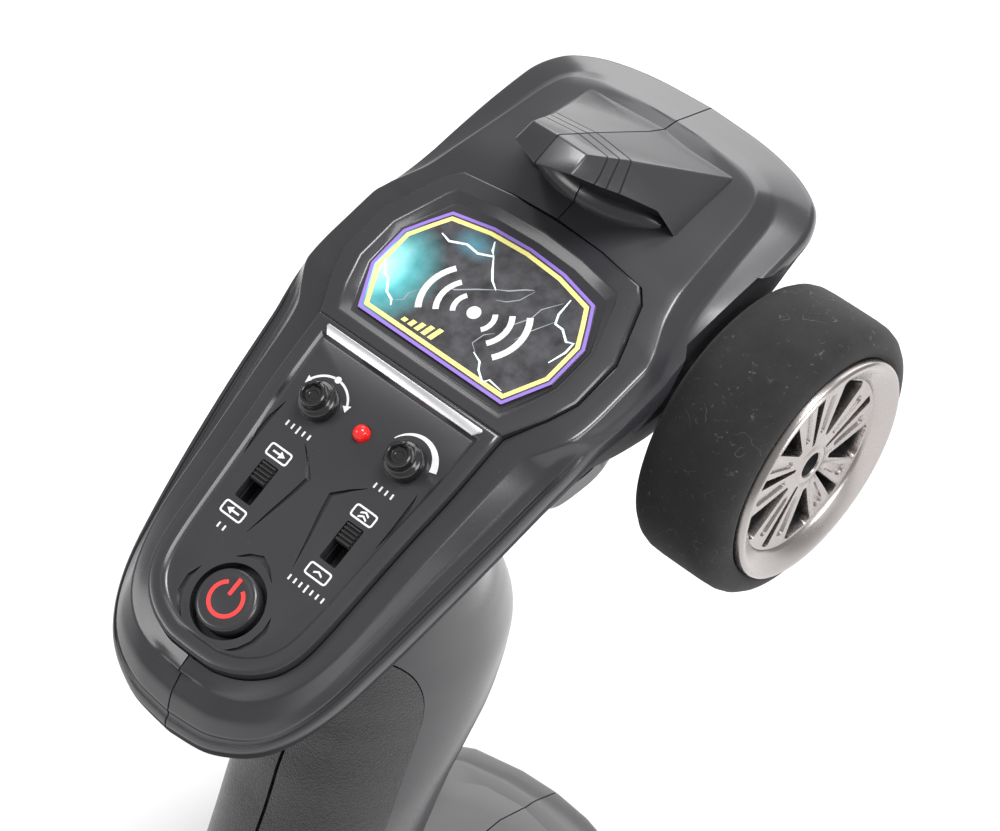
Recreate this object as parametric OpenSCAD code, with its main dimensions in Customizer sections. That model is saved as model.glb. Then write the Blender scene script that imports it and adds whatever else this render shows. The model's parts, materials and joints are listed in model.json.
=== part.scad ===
// Pistol-grip radio transmitter for model cars, in millimetres.
// X is lateral with the steering wheel on +X, +Y points forward, +Z is up.
// The origin is the centre of the footprint, on the surface that the feet stand on.

/* [Head] */
// Height of the control panel's centre over the table
panel_height = 178; // [170:1:190]
// Distance of the control panel's centre behind the footprint's centre
panel_setback = 11; // [8:1:14]
// Rise of the control panel towards the front, in degrees
panel_tilt = 30; // [28:1:32]
// Fall of the badge plane against the control panel, in degrees
badge_fall = 12.2; // [11:0.1:13]
// Wall thickness of the moulded shells
wall = 2.2; // [1.8:0.1:2.4]
// Thickness of the control panel plate
plate_t = 2; // [1.6:0.1:2.2]

/* [Controls] */
// Distance of the two knobs and switches from the centre line
control_x = 9.8; // [9:0.1:10.5]
// Radius of a knob's skirt
knob_r = 3.5; // [3:0.1:4]
// Height of a knob over the panel
knob_h = 4.7; // [4:0.1:5.5]
// Length of a slide switch's slot
slot_len = 7.8; // [7:0.1:8.5]
// Width of a slide switch's slot
slot_w = 3.7; // [3.4:0.1:4]
// Radius of the power button
button_r = 5.6; // [5:0.1:6]
// Diameter of the status light
led_d = 3; // [2.5:0.1:3.2]

/* [Wheel] */
// Distance of the wheel axis in front of the footprint's centre
wheel_y = 49.5; // [48:0.5:51]
// Height of the wheel axis
wheel_z = 165; // [164:0.5:166]
// Radius of the foam tyre
tyre_r = 27.2; // [26:0.1:27.5]
// Radius of the rim's polished edge
rim_r = 21.9; // [21:0.1:22.5]
// Plane of the tyre's inner face
tyre_in = 31.8; // [31.2:0.1:33]
// Plane of the tyre's outer face
tyre_out = 51.8; // [51.2:0.1:52.4]
// Radius of the steering shaft
shaft_r = 3; // [2.5:0.1:3.5]

/* [Trigger] */
// Distance of the trigger's pin in front of the footprint's centre
pin_y = 43; // [42:0.5:44]
// Height of the trigger's pin
pin_z = 158; // [157:0.5:159]
// Width of the trigger
trigger_w = 9.6; // [8:0.1:10]
// Lowest point of the trigger's finger loop
loop_z = 125.5; // [125:0.5:128]

/* [Base] */
// Height of the base's front edge
base_edge_z = 20.3; // [20:0.1:22]
// Height of the rubber feet
foot_h = 1.5; // [1.2:0.1:2]
// Diameter of one AA cell
cell_d = 14.2; // [13.8:0.1:14.4]
// Length of one AA cell
cell_len = 50; // [49.5:0.1:50.5]

/* [Hidden] */
$fn = 48;
sliver = 0.01;

// Head, lower body: [distance along the panel, ledge half-width, ledge height, floor half-width, floor height]
BODY = [[-58, 3, -10.5, 2, -13], [-56, 11.5, -9, 7, -16.5], [-52.4, 17, -7.5, 10, -20],
    [-47, 21, -6.5, 12, -23.5], [-41, 23.4, -6, 13, -26], [-30, 26, -5.4, 14, -29],
    [-18, 27.8, -5.2, 14.5, -32], [-5, 29.4, -5.2, 14.5, -35.5], [8, 30.6, -5.4, 14, -40],
    [18, 31.6, -6, 13.5, -44.5], [24, 33, -7, 15, -47], [37, 33, -10, 19, -52.5],
    [42, 31.8, -11.5, 20, -54], [54, 31.5, -15, 20, -55.5], [66, 31, -20, 19.5, -52.5],
    [75, 28.5, -24.5, 18, -46.5], [81, 24, -27.5, 15, -41], [84.5, 15, -29, 9, -37],
    [86, 6, -29.5, 4, -34]];
// Head, raised deck: [distance along the panel, rim half-width, rim height]
DECK = [[-50.2, 6, -3.4], [-48.8, 11, -3], [-46, 15.2, -2.4], [-42, 18.4, -1.9],
    [-36, 20.6, -1.5], [-28, 22.2, -1.2], [-15, 23.6, -1], [0, 24.3, -0.9], [9, 24.9, -0.9],
    [19, 29.2, -1.8], [24, 30.7, -3], [36, 31, -6], [48, 26.3, -8.8], [50.5, 25.9, -9.2],
    [73.4, 22.9, -17.3], [77.5, 18, -18.8], [79.4, 8, -19.4]];
// Grip: [height, centre, half-width, half-depth]
GRIP = [[24, -31, 21, 25], [32, -29.5, 19, 23], [50, -23.5, 17.6, 22], [80, -13.5, 17.8, 21.8],
    [93, -8.3, 18.2, 22.5], [99, -4.3, 18.2, 24.2], [106, 0, 18, 26], [115, 2.4, 17.8, 25.6],
    [122, 3, 17.4, 24.2], [129, 2.4, 16.8, 21.8], [136, 1, 16, 18.4], [150, 0, 15, 16]];
// Slice of the grip where the pads begin
PAD_FROM = 2;
// Base: right half of the footprint, from the front to the back
FOOTPRINT = [[0, 61.6], [21, 58], [34, 43], [38, 24], [38, -30], [33, -48], [22, -58.5], [0, -61.6]];
// Base: [height, share of the footprint]
BASE = [[foot_h, 0.97], [foot_h + 3, 1], [base_edge_z - 3, 1], [base_edge_z, 0.985],
    [base_edge_z + 3, 0.885], [base_edge_z + 8, 0.66]];
base_centre_y = -4;
// Control panel: right half of the outline behind the badge, and of the tilted part round it
PANEL_REAR = [[0, -46.4], [6, -46], [11, -44], [15, -40.4], [17.2, -35], [18.3, -22], [19.6, -6],
    [20.6, 13]];
PANEL_FRONT = [[20.6, 13], [24.4, 19.8], [26.4, 25], [26.4, 34.4], [22, 46], [19.6, 48.4], [0, 50.2]];
BADGE = [[16.2, 18], [20.5, 26.1], [20.6, 34.4], [16.2, 42.4], [0, 43.6]];
// Posts that the housing screws hold together: [forward, height]
POSTS = [[66, 176], [-40, 141.5], [9, 112], [-27, 58], [47.5, 11], [-48, 11]];
// Rubber feet on one side: [lateral, forward]
FEET = [[32.4, 22], [32, -33], [14, 46]];
// Main board, along the control panel: right half of its outline, and its screws
BOARD = [[0, -39], [9, -39], [14, -33], [16, -10], [16, 36], [0, 36]];
BOARD_SCREWS = [[-13, 8], [13, 8], [-11, -29], [11, -29]];
// Battery lead, from the tray up the grip to the board
LEAD = [[0, -24, 23], [0, -23, 40], [0, -17, 62], [0, -10, 84], [0, -5, 104], [0, -6, 122], [0, -4, 138],
    [0, -1, 152], [0, 0, 162.9], [0, -4, 169.8]];
// Wheel axis, and along it the steering pot's back, the shaft bush with its flange, and the rim's lip
wheel_centre = [0, wheel_y, wheel_z];
pot_x = -17.5;
bush_x = 15.2;
bush_r = 6.9;
flange_x = 25;
flange_r = 9.5;
lip_in = 50.6;
lip_out = 53.2;
// Radius of the trigger's pin, and of a housing screw's thread and head
pin_r = 1.5;
screw_r = 1.5;
screw_head_r = 2.8;
// Battery door: width and front edge. Cells: start, height and spacing
door_w = 54;
door_front = 31;
cells_x = -20.2;
cells_z = 12.4;
cell_gap = 14.9;
// Rows of controls along the panel, and the main board under them
knob_y = 0.2;
slot_y = -16.9;
button_y = -35.6;
board_top = -9;
board_t = 1.6;
shell_grey = "#2b2c2f";
black = "#141416";
silver = "#b9b2a8";

function mirrored(half) = concat(half, [for (i = [len(half) - 1:-1:0]) if (half[i][0] > 0)
    [-half[i][0], half[i][1]]]);

module on_panel() {
    translate([0, -panel_setback, panel_height])
        rotate([panel_tilt, 0, 0])
            children();
}

module on_badge() {
    on_panel()
        translate([0, 0, 2.8])
            rotate([-badge_fall, 0, 0])
                children();
}

// Turns a shape drawn along Z so that it runs along X
module along_x(x = 0) {
    translate([x, 0, 0])
        rotate([90, 0, 90])
            children();
}

// A tube swept through points; each point has two unit vectors across the path
module sweep(points, across, up, r, sides = 8) {
    n = len(points);
    ring = [for (i = [0:n - 1], k = [0:sides - 1])
        points[i] + r * (cos(k * 360 / sides) * across[i] + sin(k * 360 / sides) * up[i])];
    skin = [for (i = [0:n - 2], k = [0:sides - 1])
        [i * sides + k, (i + 1) * sides + k, (i + 1) * sides + (k + 1) % sides, i * sides + (k + 1) % sides]];
    ends = [[for (k = [0:sides - 1]) k], [for (k = [sides - 1:-1:0]) (n - 1) * sides + k]];
    polyhedron(points = ring, faces = concat(skin, ends), convexity = 6);
}

// A wound spring round the X axis
module coil(r, wire_r, turns, length, steps = 20) {
    n = turns * steps;
    turn = [for (i = [0:n]) i * 360 / steps];
    sweep([for (i = [0:n]) [length * i / n, r * cos(turn[i]), r * sin(turn[i])]],
        [for (a = turn) [1, 0, 0]], [for (a = turn) [0, cos(a), sin(a)]], wire_r, 6);
}

module slice_at(y, outline) {
    translate([0, y, 0])
        rotate([90, 0, 0])
            linear_extrude(sliver)
                polygon(mirrored(outline));
}

module body_slice(s, inset) {
    w = s[1] - inset;
    top = s[2] - inset;
    floor_w = max(s[3] - inset, 1);
    floor_z = s[4] + inset;
    slice_at(s[0], [[0, top + 1.6], [max(w - 2.4, 0.5), top + 1.2], [max(w, 1), top - 0.8],
        [max(w - 0.8, 0.8), top - 3], [floor_w, floor_z + 2], [max(floor_w - 3, 0.5), floor_z], [0, floor_z]]);
}

module deck_slice(s, inset) {
    slice_at(s[0], [[0, s[2] - inset], [s[1] - 1 - inset, s[2] - inset], [s[1] - inset, s[2] - 0.8 - inset],
        [s[1] + 1.5 - inset, s[2] - 6], [0, s[2] - 6]]);
}

// The fin at the front of the deck, which hooks back over the badge
module fin(inset) {
    hull() {
        slice_at(51.8, [[0, 12.2 - inset], [5 - inset, 12.4 - inset], [5.6 - inset, 9.6], [0, 8.4]]);
        slice_at(58.2, [[0, 12.6 - inset], [6.6 - inset, 12 - inset], [10 - inset, 0], [0, 0]]);
        slice_at(63.5, [[0, 3.6 - inset], [7.4 - inset, 3.2 - inset], [13 - inset, -10], [0, -10]]);
    }
    hull() {
        slice_at(58.2, [[0, 12.6 - inset], [6.6 - inset, 12 - inset], [14 - inset, -12], [0, -14]]);
        slice_at(63.5, [[0, 3.6 - inset], [7.4 - inset, 3.2 - inset], [15 - inset, -14], [0, -14]]);
        slice_at(76, [[0, -17], [14 - inset, -19], [0, -21]]);
    }
}

// The head's outside, or its inside when inset by the wall
module head_form(inset = 0) {
    on_panel() {
        for (i = [0:len(BODY) - 2])
            hull() {
                body_slice(BODY[i] + [inset * (i == 0 ? 1 : 0), 0, 0, 0, 0], inset);
                body_slice(BODY[i + 1] - [inset * (i == len(BODY) - 2 ? 1 : 0), 0, 0, 0, 0], inset);
            }
        for (i = [0:len(DECK) - 2])
            hull() {
                deck_slice(DECK[i] + [inset * (i == 0 ? 1 : 0), 0, 0], inset);
                deck_slice(DECK[i + 1] - [inset * (i == len(DECK) - 2 ? 1 : 0), 0, 0], inset);
            }
        fin(inset);
    }
}

module grip_slice(s, inset) {
    translate([0, s[1], s[0]])
        scale([s[2] - inset, s[3] - inset, 1])
            cylinder(r = 1, h = sliver, $fn = 32);
}

module grip_form(inset = 0) {
    for (i = [0:len(GRIP) - 2])
        hull() {
            grip_slice(GRIP[i], inset);
            grip_slice(GRIP[i + 1], inset);
        }
}

module base_slice(level, inset) {
    x_share = level[1] * (38 - inset) / 38;
    y_share = level[1] * (61.6 - inset) / 61.6;
    translate([0, base_centre_y * (1 - level[1]), level[0]])
        linear_extrude(sliver)
            scale([x_share, y_share])
                polygon(mirrored(FOOTPRINT));
}

module base_form(inset = 0) {
    for (i = [0:len(BASE) - 2])
        hull() {
            base_slice(BASE[i] + [i == 0 ? inset : 0, 0], inset);
            base_slice(BASE[i + 1] - [i == len(BASE) - 2 ? inset : 0, 0], inset);
        }
}

module whole_form(inset = 0) {
    head_form(inset);
    grip_form(inset);
    base_form(inset);
}

module panel_outline(grow = 0) {
    polygon([for (p = mirrored(PANEL_REAR)) p + [sign(p[0]), sign(p[1] - 10)] * grow]);
}

module badge_surround(grow = 0) {
    polygon([for (p = mirrored(PANEL_FRONT)) p + [sign(p[0]), sign(p[1] - 14)] * grow]);
}

// Everything that is cut out of the two shells
module shell_cuts() {
    clearance = 0.2;
    on_panel() {
        translate([0, 0, -plate_t - 1.35])
            linear_extrude(10)
                panel_outline(clearance);
        translate([0, 0, -plate_t - 6])
            linear_extrude(10)
                panel_outline(-1.5);
    }
    on_badge()
        translate([0, 0, -plate_t - 2.6])
            linear_extrude(10)
                badge_surround(clearance);
    // Arch round the tyre, recess round the bush's flange, and the hole for the bush
    translate(wheel_centre)
        along_x(tyre_in - 0.9)
            cylinder(r = tyre_r + 1.5, h = 40);
    translate(wheel_centre)
        along_x(flange_x)
            cylinder(r = flange_r + 1, h = 40);
    translate(wheel_centre)
        along_x(10)
            cylinder(r = bush_r + 0.1, h = 20);
    // Slot under the head for the trigger
    translate([-trigger_w / 2 - 0.8, pin_y - 10.5, pin_z - 16])
        cube([trigger_w + 1.6, 22, 12]);
    // Opening, side grooves and rear mouth for the battery door
    translate([-door_w / 2 - 0.3, -70, 0])
        cube([door_w + 0.6, 70 + door_front + 0.3, 6]);
    translate([-door_w / 2 - 1.9, -70, foot_h + 0.8])
        cube([door_w + 3.8, 70 + door_front + 0.3, 1.2]);
}

module grip_pad_zone(grow = 0) {
    for (i = [PAD_FROM:9])
        hull() {
            pad_slice(GRIP[i], grow);
            pad_slice(GRIP[i + 1], grow);
        }
}

module pad_slice(s, grow) {
    rear = s[1] - s[3];
    translate([-25, rear - 5, s[0] - (s[0] == GRIP[PAD_FROM][0] ? grow : 0)])
        cube([50, 18.5 + grow, sliver]);
}

module grip_pad_form() {
    difference() {
        intersection() {
            grip_form(0);
            grip_pad_zone(0);
        }
        grip_form(1.2);
        head_form(-0.3);
    }
}

module post_at(p) {
    translate([0, p[0], p[1]])
        along_x()
            children();
}

module screw_posts() {
    intersection() {
        union() {
            head_form(0.6);
            grip_form(0.6);
            base_form(0.6);
        }
        for (p = POSTS)
            post_at(p)
                cylinder(r = 4, h = 80, center = true, $fn = 24);
    }
}

module screw_holes() {
    for (p = POSTS)
        post_at(p) {
            translate([0, 0, -60])
                cylinder(r = screw_head_r + 0.2, h = 51, $fn = 24);
            translate([0, 0, -10])
                cylinder(r = screw_r + 0.1, h = 20, $fn = 24);
        }
}

module half_space(side) {
    translate([side > 0 ? 0 : -100, -100, -10])
        cube([100, 220, 260]);
}

module shell(side) {
    intersection() {
        difference() {
            union() {
                difference() {
                    whole_form(0);
                    whole_form(wall);
                }
                screw_posts();
                if (side > 0)
                    translate(wheel_centre)
                        along_x(14)
                            cylinder(r = 11, h = flange_x - 14);
            }
            shell_cuts();
            screw_holes();
            difference() {
                grip_pad_zone(0.15);
                grip_form(1.35);
                head_form(-0.15);
            }
        }
        half_space(side);
    }
}

module left_shell() {
    color(shell_grey)
        shell(-1);
}

module right_shell() {
    color(shell_grey)
        shell(1);
}

module control_panel() {
    color("#333438") {
        on_panel()
            difference() {
                union() {
                    translate([0, 0, -plate_t])
                        linear_extrude(plate_t)
                            panel_outline();
                    translate([0, 0, -plate_t])
                        linear_extrude(plate_t + 0.9)
                            difference() {
                                panel_outline(-1.2);
                                panel_outline(-2.6);
                                translate([-30, 9.6])
                                    square([60, 8]);
                            }
                }
                for (side = [-1, 1]) {
                    translate([side * control_x, knob_y, -5])
                        cylinder(r = 1.9, h = 10);
                    translate([side * control_x - slot_w / 2, slot_y - slot_len / 2, -5])
                        cube([slot_w, slot_len, 10]);
                }
                translate([0, 0, -5])
                    cylinder(d = led_d + 0.3, h = 10);
                translate([0, button_y, -5])
                    cylinder(r = button_r + 1.2, h = 10);
                translate([-30, 12.9, -10])
                    cube([60, 20, 20]);
            }
        on_badge()
            difference() {
                union() {
                    translate([0, 0, -plate_t])
                        linear_extrude(plate_t)
                            badge_surround();
                    translate([0, 0, -plate_t])
                        linear_extrude(plate_t + 0.9)
                            difference() {
                                badge_surround(-1.6);
                                badge_surround(-3.6);
                            }
                }
                translate([0, 0, -0.7])
                    linear_extrude(5)
                        polygon(mirrored(BADGE));
            }
    }
}

module badge_plate() {
    color("#20242c")
        on_badge()
            translate([0, 0, -0.7])
                linear_extrude(0.5)
                    polygon([for (p = mirrored(BADGE)) p * 0.985 + [0, 0.45]]);
}

module trim_strip() {
    color("silver")
        on_panel()
            linear_extrude(0.5)
                polygon([[-17.2, 10.3], [17.2, 10.3], [17.4, 12], [-17.4, 12]]);
}

module status_led() {
    color("#d02020")
        on_panel() {
            translate([0, 0, -5.2])
                cylinder(d = led_d, h = 5.4);
            translate([0, 0, 0.2])
                intersection() {
                    sphere(d = led_d);
                    cylinder(d = led_d, h = led_d);
                }
            for (side = [-1, 1])
                translate([side * 0.7, 0, board_top + 0.02])
                    cylinder(r = 0.25, h = 4);
        }
}

module knob(side) {
    color(black)
        on_panel()
            translate([side * control_x, knob_y, 0]) {
                translate([0, 0, 0.3])
                    difference() {
                        union() {
                            cylinder(r = knob_r, h = 1.8);
                            cylinder(r = 2.5, h = knob_h - 0.3);
                        }
                        translate([0, 0, knob_h - 0.9])
                            cylinder(r = 1.7, h = 2);
                    }
                translate([0, 0, -6.4])
                    cylinder(r = 1.5, h = 7);
            }
}

module trim_knob() {
    knob(-1);
}

module rate_knob() {
    knob(1);
}

// Rotary pot on the board, with a bore that the knob's stem turns in
module panel_pot(side) {
    color("#3a5f8a")
        on_panel()
            translate([side * control_x, knob_y, board_top + 0.02])
                difference() {
                    translate([-4, -4, 0])
                        cube([8, 8, 5.2]);
                    translate([0, 0, 1.6])
                        cylinder(r = 1.55, h = 10);
                }
}

module trim_pot() {
    panel_pot(-1);
}

module rate_pot() {
    panel_pot(1);
}

module switch_slider(side) {
    cap = 3.7;
    color(black)
        on_panel()
            translate([side * control_x, slot_y + slot_len / 2 - cap / 2 - 0.15, 0]) {
                translate([-1.5, -cap / 2, -4.6])
                    cube([3, cap, 4.3]);
                for (i = [-2:2])
                    translate([-1.5, i * 0.75 - 0.2, -0.4])
                        cube([3, 0.4, 0.7]);
            }
}

module reverse_switch_slider() {
    switch_slider(-1);
}

module speed_switch_slider() {
    switch_slider(1);
}

module switch_body(side) {
    color("#4a4a4d")
        on_panel()
            translate([side * control_x, slot_y, board_top + 0.02])
                difference() {
                    translate([-2.9, -5.4, 0])
                        cube([5.8, 10.8, 6.6]);
                    translate([-1.7, -slot_len / 2, 3.9])
                        cube([3.4, slot_len, 5]);
                }
}

module reverse_switch_body() {
    switch_body(-1);
}

module speed_switch_body() {
    switch_body(1);
}

module power_button() {
    color(black)
        on_panel()
            translate([0, button_y, 0]) {
                translate([0, 0, -2.9])
                    cylinder(r = button_r, h = 3.4);
                translate([0, 0, 0.5])
                    intersection() {
                        translate([0, 0, -18.6])
                            sphere(r = 19.5);
                        cylinder(r = button_r, h = 2);
                    }
                translate([0, 0, -3.6])
                    cylinder(r = button_r + 2, h = 0.9);
                translate([0, 0, -4.2])
                    cylinder(r = 1.4, h = 1);
            }
}

module power_tact_switch() {
    color("#5a5a5e")
        on_panel()
            translate([0, button_y, board_top + 0.02]) {
                translate([-3, -3, 0])
                    cube([6, 6, 2.8]);
                cylinder(r = 1.6, h = 3.4);
            }
}

module wheel_tyre() {
    shoulder = 3.8;
    color("#1d1d1e")
        translate(wheel_centre)
            along_x()
                rotate_extrude($fn = 96)
                    polygon(concat([[rim_r - 1.2, tyre_in], [tyre_r - shoulder, tyre_in]],
                        [for (a = [0:15:90]) [tyre_r - shoulder + shoulder * sin(a),
                            tyre_in + shoulder - shoulder * cos(a)]],
                        [for (a = [90:-15:0]) [tyre_r - shoulder + shoulder * sin(a),
                            tyre_out - shoulder + shoulder * cos(a)]],
                        [[rim_r + 0.05, tyre_out], [rim_r + 0.05, lip_in], [rim_r - 1.2, lip_in]]));
}

// Barrel with a lipped edge, a dished face with ten windows, and the hub
module wheel_rim() {
    face_out = 50.4;
    color(silver)
        translate(wheel_centre)
            along_x()
                difference() {
                    union() {
                        rotate_extrude($fn = 96)
                            polygon([[rim_r - 2.4, tyre_in + 1], [rim_r - 1.2, tyre_in + 1],
                                [rim_r - 1.2, lip_in], [rim_r, lip_in], [rim_r, lip_out],
                                [rim_r - 1.6, lip_out], [rim_r - 2.4, lip_out - 1.2]]);
                        translate([0, 0, face_out - 3.4])
                            cylinder(r = rim_r - 2.2, h = 3.4);
                        translate([0, 0, 33])
                            cylinder(r = 5.6, h = face_out - 33);
                    }
                    translate([0, 0, 30])
                        cylinder(r = shaft_r, h = 14.5);
                    translate([0, 0, 40])
                        cylinder(r = 1.6, h = 20);
                    translate([0, 0, 47.5])
                        cylinder(r = 2.4, h = 10);
                    for (i = [0:4])
                        translate([0, 0, 40])
                            linear_extrude(20) {
                                rotate(i * 72 + 18)
                                    polygon([[6.5, -0.3], [17, -1], [17, 1], [6.5, 0.3]]);
                                rotate(i * 72 + 54)
                                    polygon([[9.5, -0.8], [17.4, -3.6], [17.4, 3.6], [9.5, 0.8]]);
                            }
                }
}

module wheel_shaft() {
    color("silver")
        translate(wheel_centre)
            along_x()
                difference() {
                    union() {
                        translate([0, 0, pot_x + 2.4])
                            cylinder(r = shaft_r, h = 44.5 - pot_x - 2.4);
                        translate([0, 0, 13.4])
                            cylinder(r = 5, h = 1.2);
                    }
                    translate([0, 0, 34])
                        cylinder(r = 1.5, h = 20);
                }
}

module wheel_screw() {
    color("#2a2a2c")
        translate(wheel_centre)
            along_x()
                difference() {
                    union() {
                        translate([0, 0, 35])
                            cylinder(r = 1.5, h = 12.5);
                        translate([0, 0, 47.5])
                            cylinder(r = 2.3, h = 1.6);
                    }
                    translate([0, 0, 48.1])
                        cylinder(r = 1.1, h = 4, $fn = 6);
                }
}

module wheel_bush() {
    color("#1a1a1c")
        translate(wheel_centre)
            along_x()
                difference() {
                    union() {
                        translate([0, 0, bush_x])
                            cylinder(r = bush_r, h = flange_x - bush_x + 0.2);
                        translate([0, 0, flange_x])
                            cylinder(r = flange_r, h = 1.4);
                    }
                    translate([0, 0, 10])
                        cylinder(r = shaft_r + 0.05, h = 30);
                }
}

module steering_pot() {
    color("#3a5f8a")
        translate(wheel_centre)
            along_x()
                difference() {
                    union() {
                        translate([0, 0, pot_x])
                            cylinder(r = 8.2, h = 7);
                        translate([0, 0, pot_x + 7])
                            cylinder(r = 4.4, h = 3);
                        translate([-5, 7, pot_x])
                            cube([10, 6, 1.2]);
                    }
                    translate([0, 0, pot_x + 2])
                        cylinder(r = shaft_r + 0.05, h = 20);
                }
}

module steering_spring() {
    color("#9a9a9e")
        translate(wheel_centre + [-7, 0, 0])
            coil(4.2, 0.4, 6, 7.5);
}

// Arm on the pin, and the loop that the finger goes through
module throttle_trigger() {
    color(black)
        difference() {
            union() {
                translate([0, pin_y, pin_z])
                    along_x(-trigger_w / 2)
                        cylinder(r = 4.6, h = trigger_w);
                along_x(-trigger_w / 2)
                    linear_extrude(trigger_w)
                        polygon([[pin_y - 4.5, pin_z], [pin_y - 5.5, 147], [pin_y - 7.5, 141],
                            [pin_y - 7.5, 131], [pin_y - 5, loop_z + 1.5], [pin_y - 1, loop_z],
                            [pin_y + 8, loop_z], [pin_y + 12, loop_z + 2], [pin_y + 14, 131],
                            [pin_y + 12.5, 141], [pin_y + 7, 147.5], [pin_y + 4.5, pin_z]]);
            }
            along_x(-20)
                linear_extrude(40)
                    polygon([[pin_y - 4, 140.5], [pin_y - 4.2, 131.5], [pin_y - 2, loop_z + 3.4],
                        [pin_y + 7.5, loop_z + 3.4], [pin_y + 10.8, 131.5], [pin_y + 9.4, 140],
                        [pin_y + 5, 144], [pin_y - 1, 144]]);
            translate([0, pin_y, pin_z])
                along_x(-20)
                    cylinder(r = pin_r + 0.05, h = 40);
        }
}

module trigger_pin() {
    color("silver")
        translate([0, pin_y, pin_z])
            along_x(-8.5)
                cylinder(r = pin_r, h = 17);
}

// Two cheeks that hold the pin, joined by a bridge over the trigger
module trigger_bracket() {
    cheek_t = 2;
    outer = 8.2;
    color("#2e2f33") {
        difference() {
            for (x = [-outer, outer - cheek_t])
                along_x(x)
                    linear_extrude(cheek_t)
                        polygon([[pin_y - 5, pin_z - 4], [pin_y + 3, pin_z - 4], [pin_y + 3, pin_z + 2.4],
                            [pin_y + 1, pin_z + 4], [pin_y + 1, pin_z + 6.4], [pin_y - 5, pin_z + 6.4]]);
            translate([0, pin_y, pin_z])
                along_x(-20)
                    cylinder(r = pin_r, h = 40);
        }
        translate([-outer, pin_y - 5, pin_z + 5])
            cube([2 * outer, 6, 1.4]);
    }
}

module trigger_spring() {
    color("#9a9a9e")
        translate([-5.9, pin_y, pin_z])
            coil(2.3, 0.18, 2, 0.8);
}

module throttle_pot() {
    color("#3a5f8a")
        translate([0, pin_y, pin_z])
            along_x(8.8)
                difference() {
                    translate([-6, -4, 0])
                        cube([9, 8, 4.2]);
                    translate([0, 0, -1])
                        cylinder(r = pin_r + 0.1, h = 3);
                }
}

module left_grip_pad() {
    color("#232325")
        intersection() {
            grip_pad_form();
            translate([-50.3, -100, 0])
                cube([50, 200, 200]);
        }
}

module right_grip_pad() {
    color("#232325")
        intersection() {
            grip_pad_form();
            translate([0.3, -100, 0])
                cube([50, 200, 200]);
        }
}

module main_board() {
    color("#1f6b3a")
        on_panel()
            difference() {
                translate([0, 0, board_top - board_t])
                    linear_extrude(board_t)
                        polygon(mirrored(BOARD));
                for (p = BOARD_SCREWS)
                    translate([p[0], p[1], board_top - 5])
                        cylinder(r = 1.3, h = 10);
            }
}

module board_screws() {
    color("silver")
        on_panel()
            for (p = BOARD_SCREWS)
                translate([p[0], p[1], board_top - board_t]) {
                    translate([0, 0, -1.4])
                        cylinder(r = 2.1, h = 1.4);
                    cylinder(r = 1.2, h = 6);
                }
}

module radio_module() {
    on_panel()
        translate([-9, 50, -27]) {
            color("#1f4f6b")
                cube([18, 16, 1]);
            color("silver")
                translate([2.5, 2.5, 1])
                    cube([13, 11, 2.4]);
        }
}

module antenna_rod() {
    color("#c9a227")
        on_panel()
            translate([0, 69, -27])
                along_x(-14)
                    cylinder(r = 0.9, h = 28);
}

module power_lead() {
    n = len(LEAD);
    function slope(i) = let (d = LEAD[min(i + 1, n - 1)] - LEAD[max(i - 1, 0)]) d / norm(d);
    color("#a01818")
        sweep(LEAD, [for (i = [0:n - 1]) [1, 0, 0]],
            [for (i = [0:n - 1]) [0, -slope(i)[2], slope(i)[1]]], 1.4, 8);
}

module battery_tray() {
    color("#26272a")
        difference() {
            translate([-32, -31.6, 4])
                cube([64, 63.2, 16.6]);
            translate([-30.6, -30.4, 0])
                cube([61.2, 60.8, 19.8]);
        }
}

module battery_cells() {
    color("#c79a3a")
        for (i = [0:3])
            translate([0, (i - 1.5) * cell_gap, cells_z])
                along_x(cells_x) {
                    cylinder(d = cell_d, h = cell_len - 1);
                    translate([0, 0, cell_len - 1])
                        cylinder(d = 5.5, h = 1);
                }
}

module battery_springs() {
    color("#c0c0c4")
        for (i = [0:3])
            translate([-30.1, (i - 1.5) * cell_gap, cells_z])
                coil(3, 0.4, 4, 9, 16);
}

module battery_plates() {
    color("#c0c0c4")
        for (i = [0:3])
            translate([30, (i - 1.5) * cell_gap - 5, cells_z - 5])
                cube([0.6, 10, 10]);
}

// Plan of the door: a strip that ends in the base's own outline at the back
module door_plan(width) {
    intersection() {
        scale(0.968)
            polygon(mirrored(FOOTPRINT));
        translate([-width / 2, -70])
            square([width, 70 + door_front]);
    }
}

module battery_door() {
    color("#303136") {
        translate([0, 0, foot_h])
            linear_extrude(1.8)
                door_plan(door_w);
        translate([0, 0, foot_h + 1])
            linear_extrude(0.8)
                door_plan(door_w + 3.2);
        for (i = [0:4])
            translate([-10, -54 + i * 2.4, foot_h - 0.4])
                cube([20, 1, 0.4]);
    }
}

module door_pad() {
    color("#101011")
        cylinder(r = 5, h = foot_h);
}

module rubber_feet() {
    color("#101011")
        for (x = [-1, 1], p = FEET)
            translate([x * p[0], p[1], 0])
                cylinder(r = 3.2, h = foot_h);
}

module housing_screws() {
    color("#3a3a3d")
        for (p = POSTS)
            post_at(p) {
                translate([0, 0, -9.2])
                    cylinder(r = screw_r, h = 17.8);
                translate([0, 0, -11])
                    difference() {
                        cylinder(r = screw_head_r, h = 2);
                        translate([-2, -0.4, -1])
                            cube([4, 0.8, 1.8]);
                    }
            }
}

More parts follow.
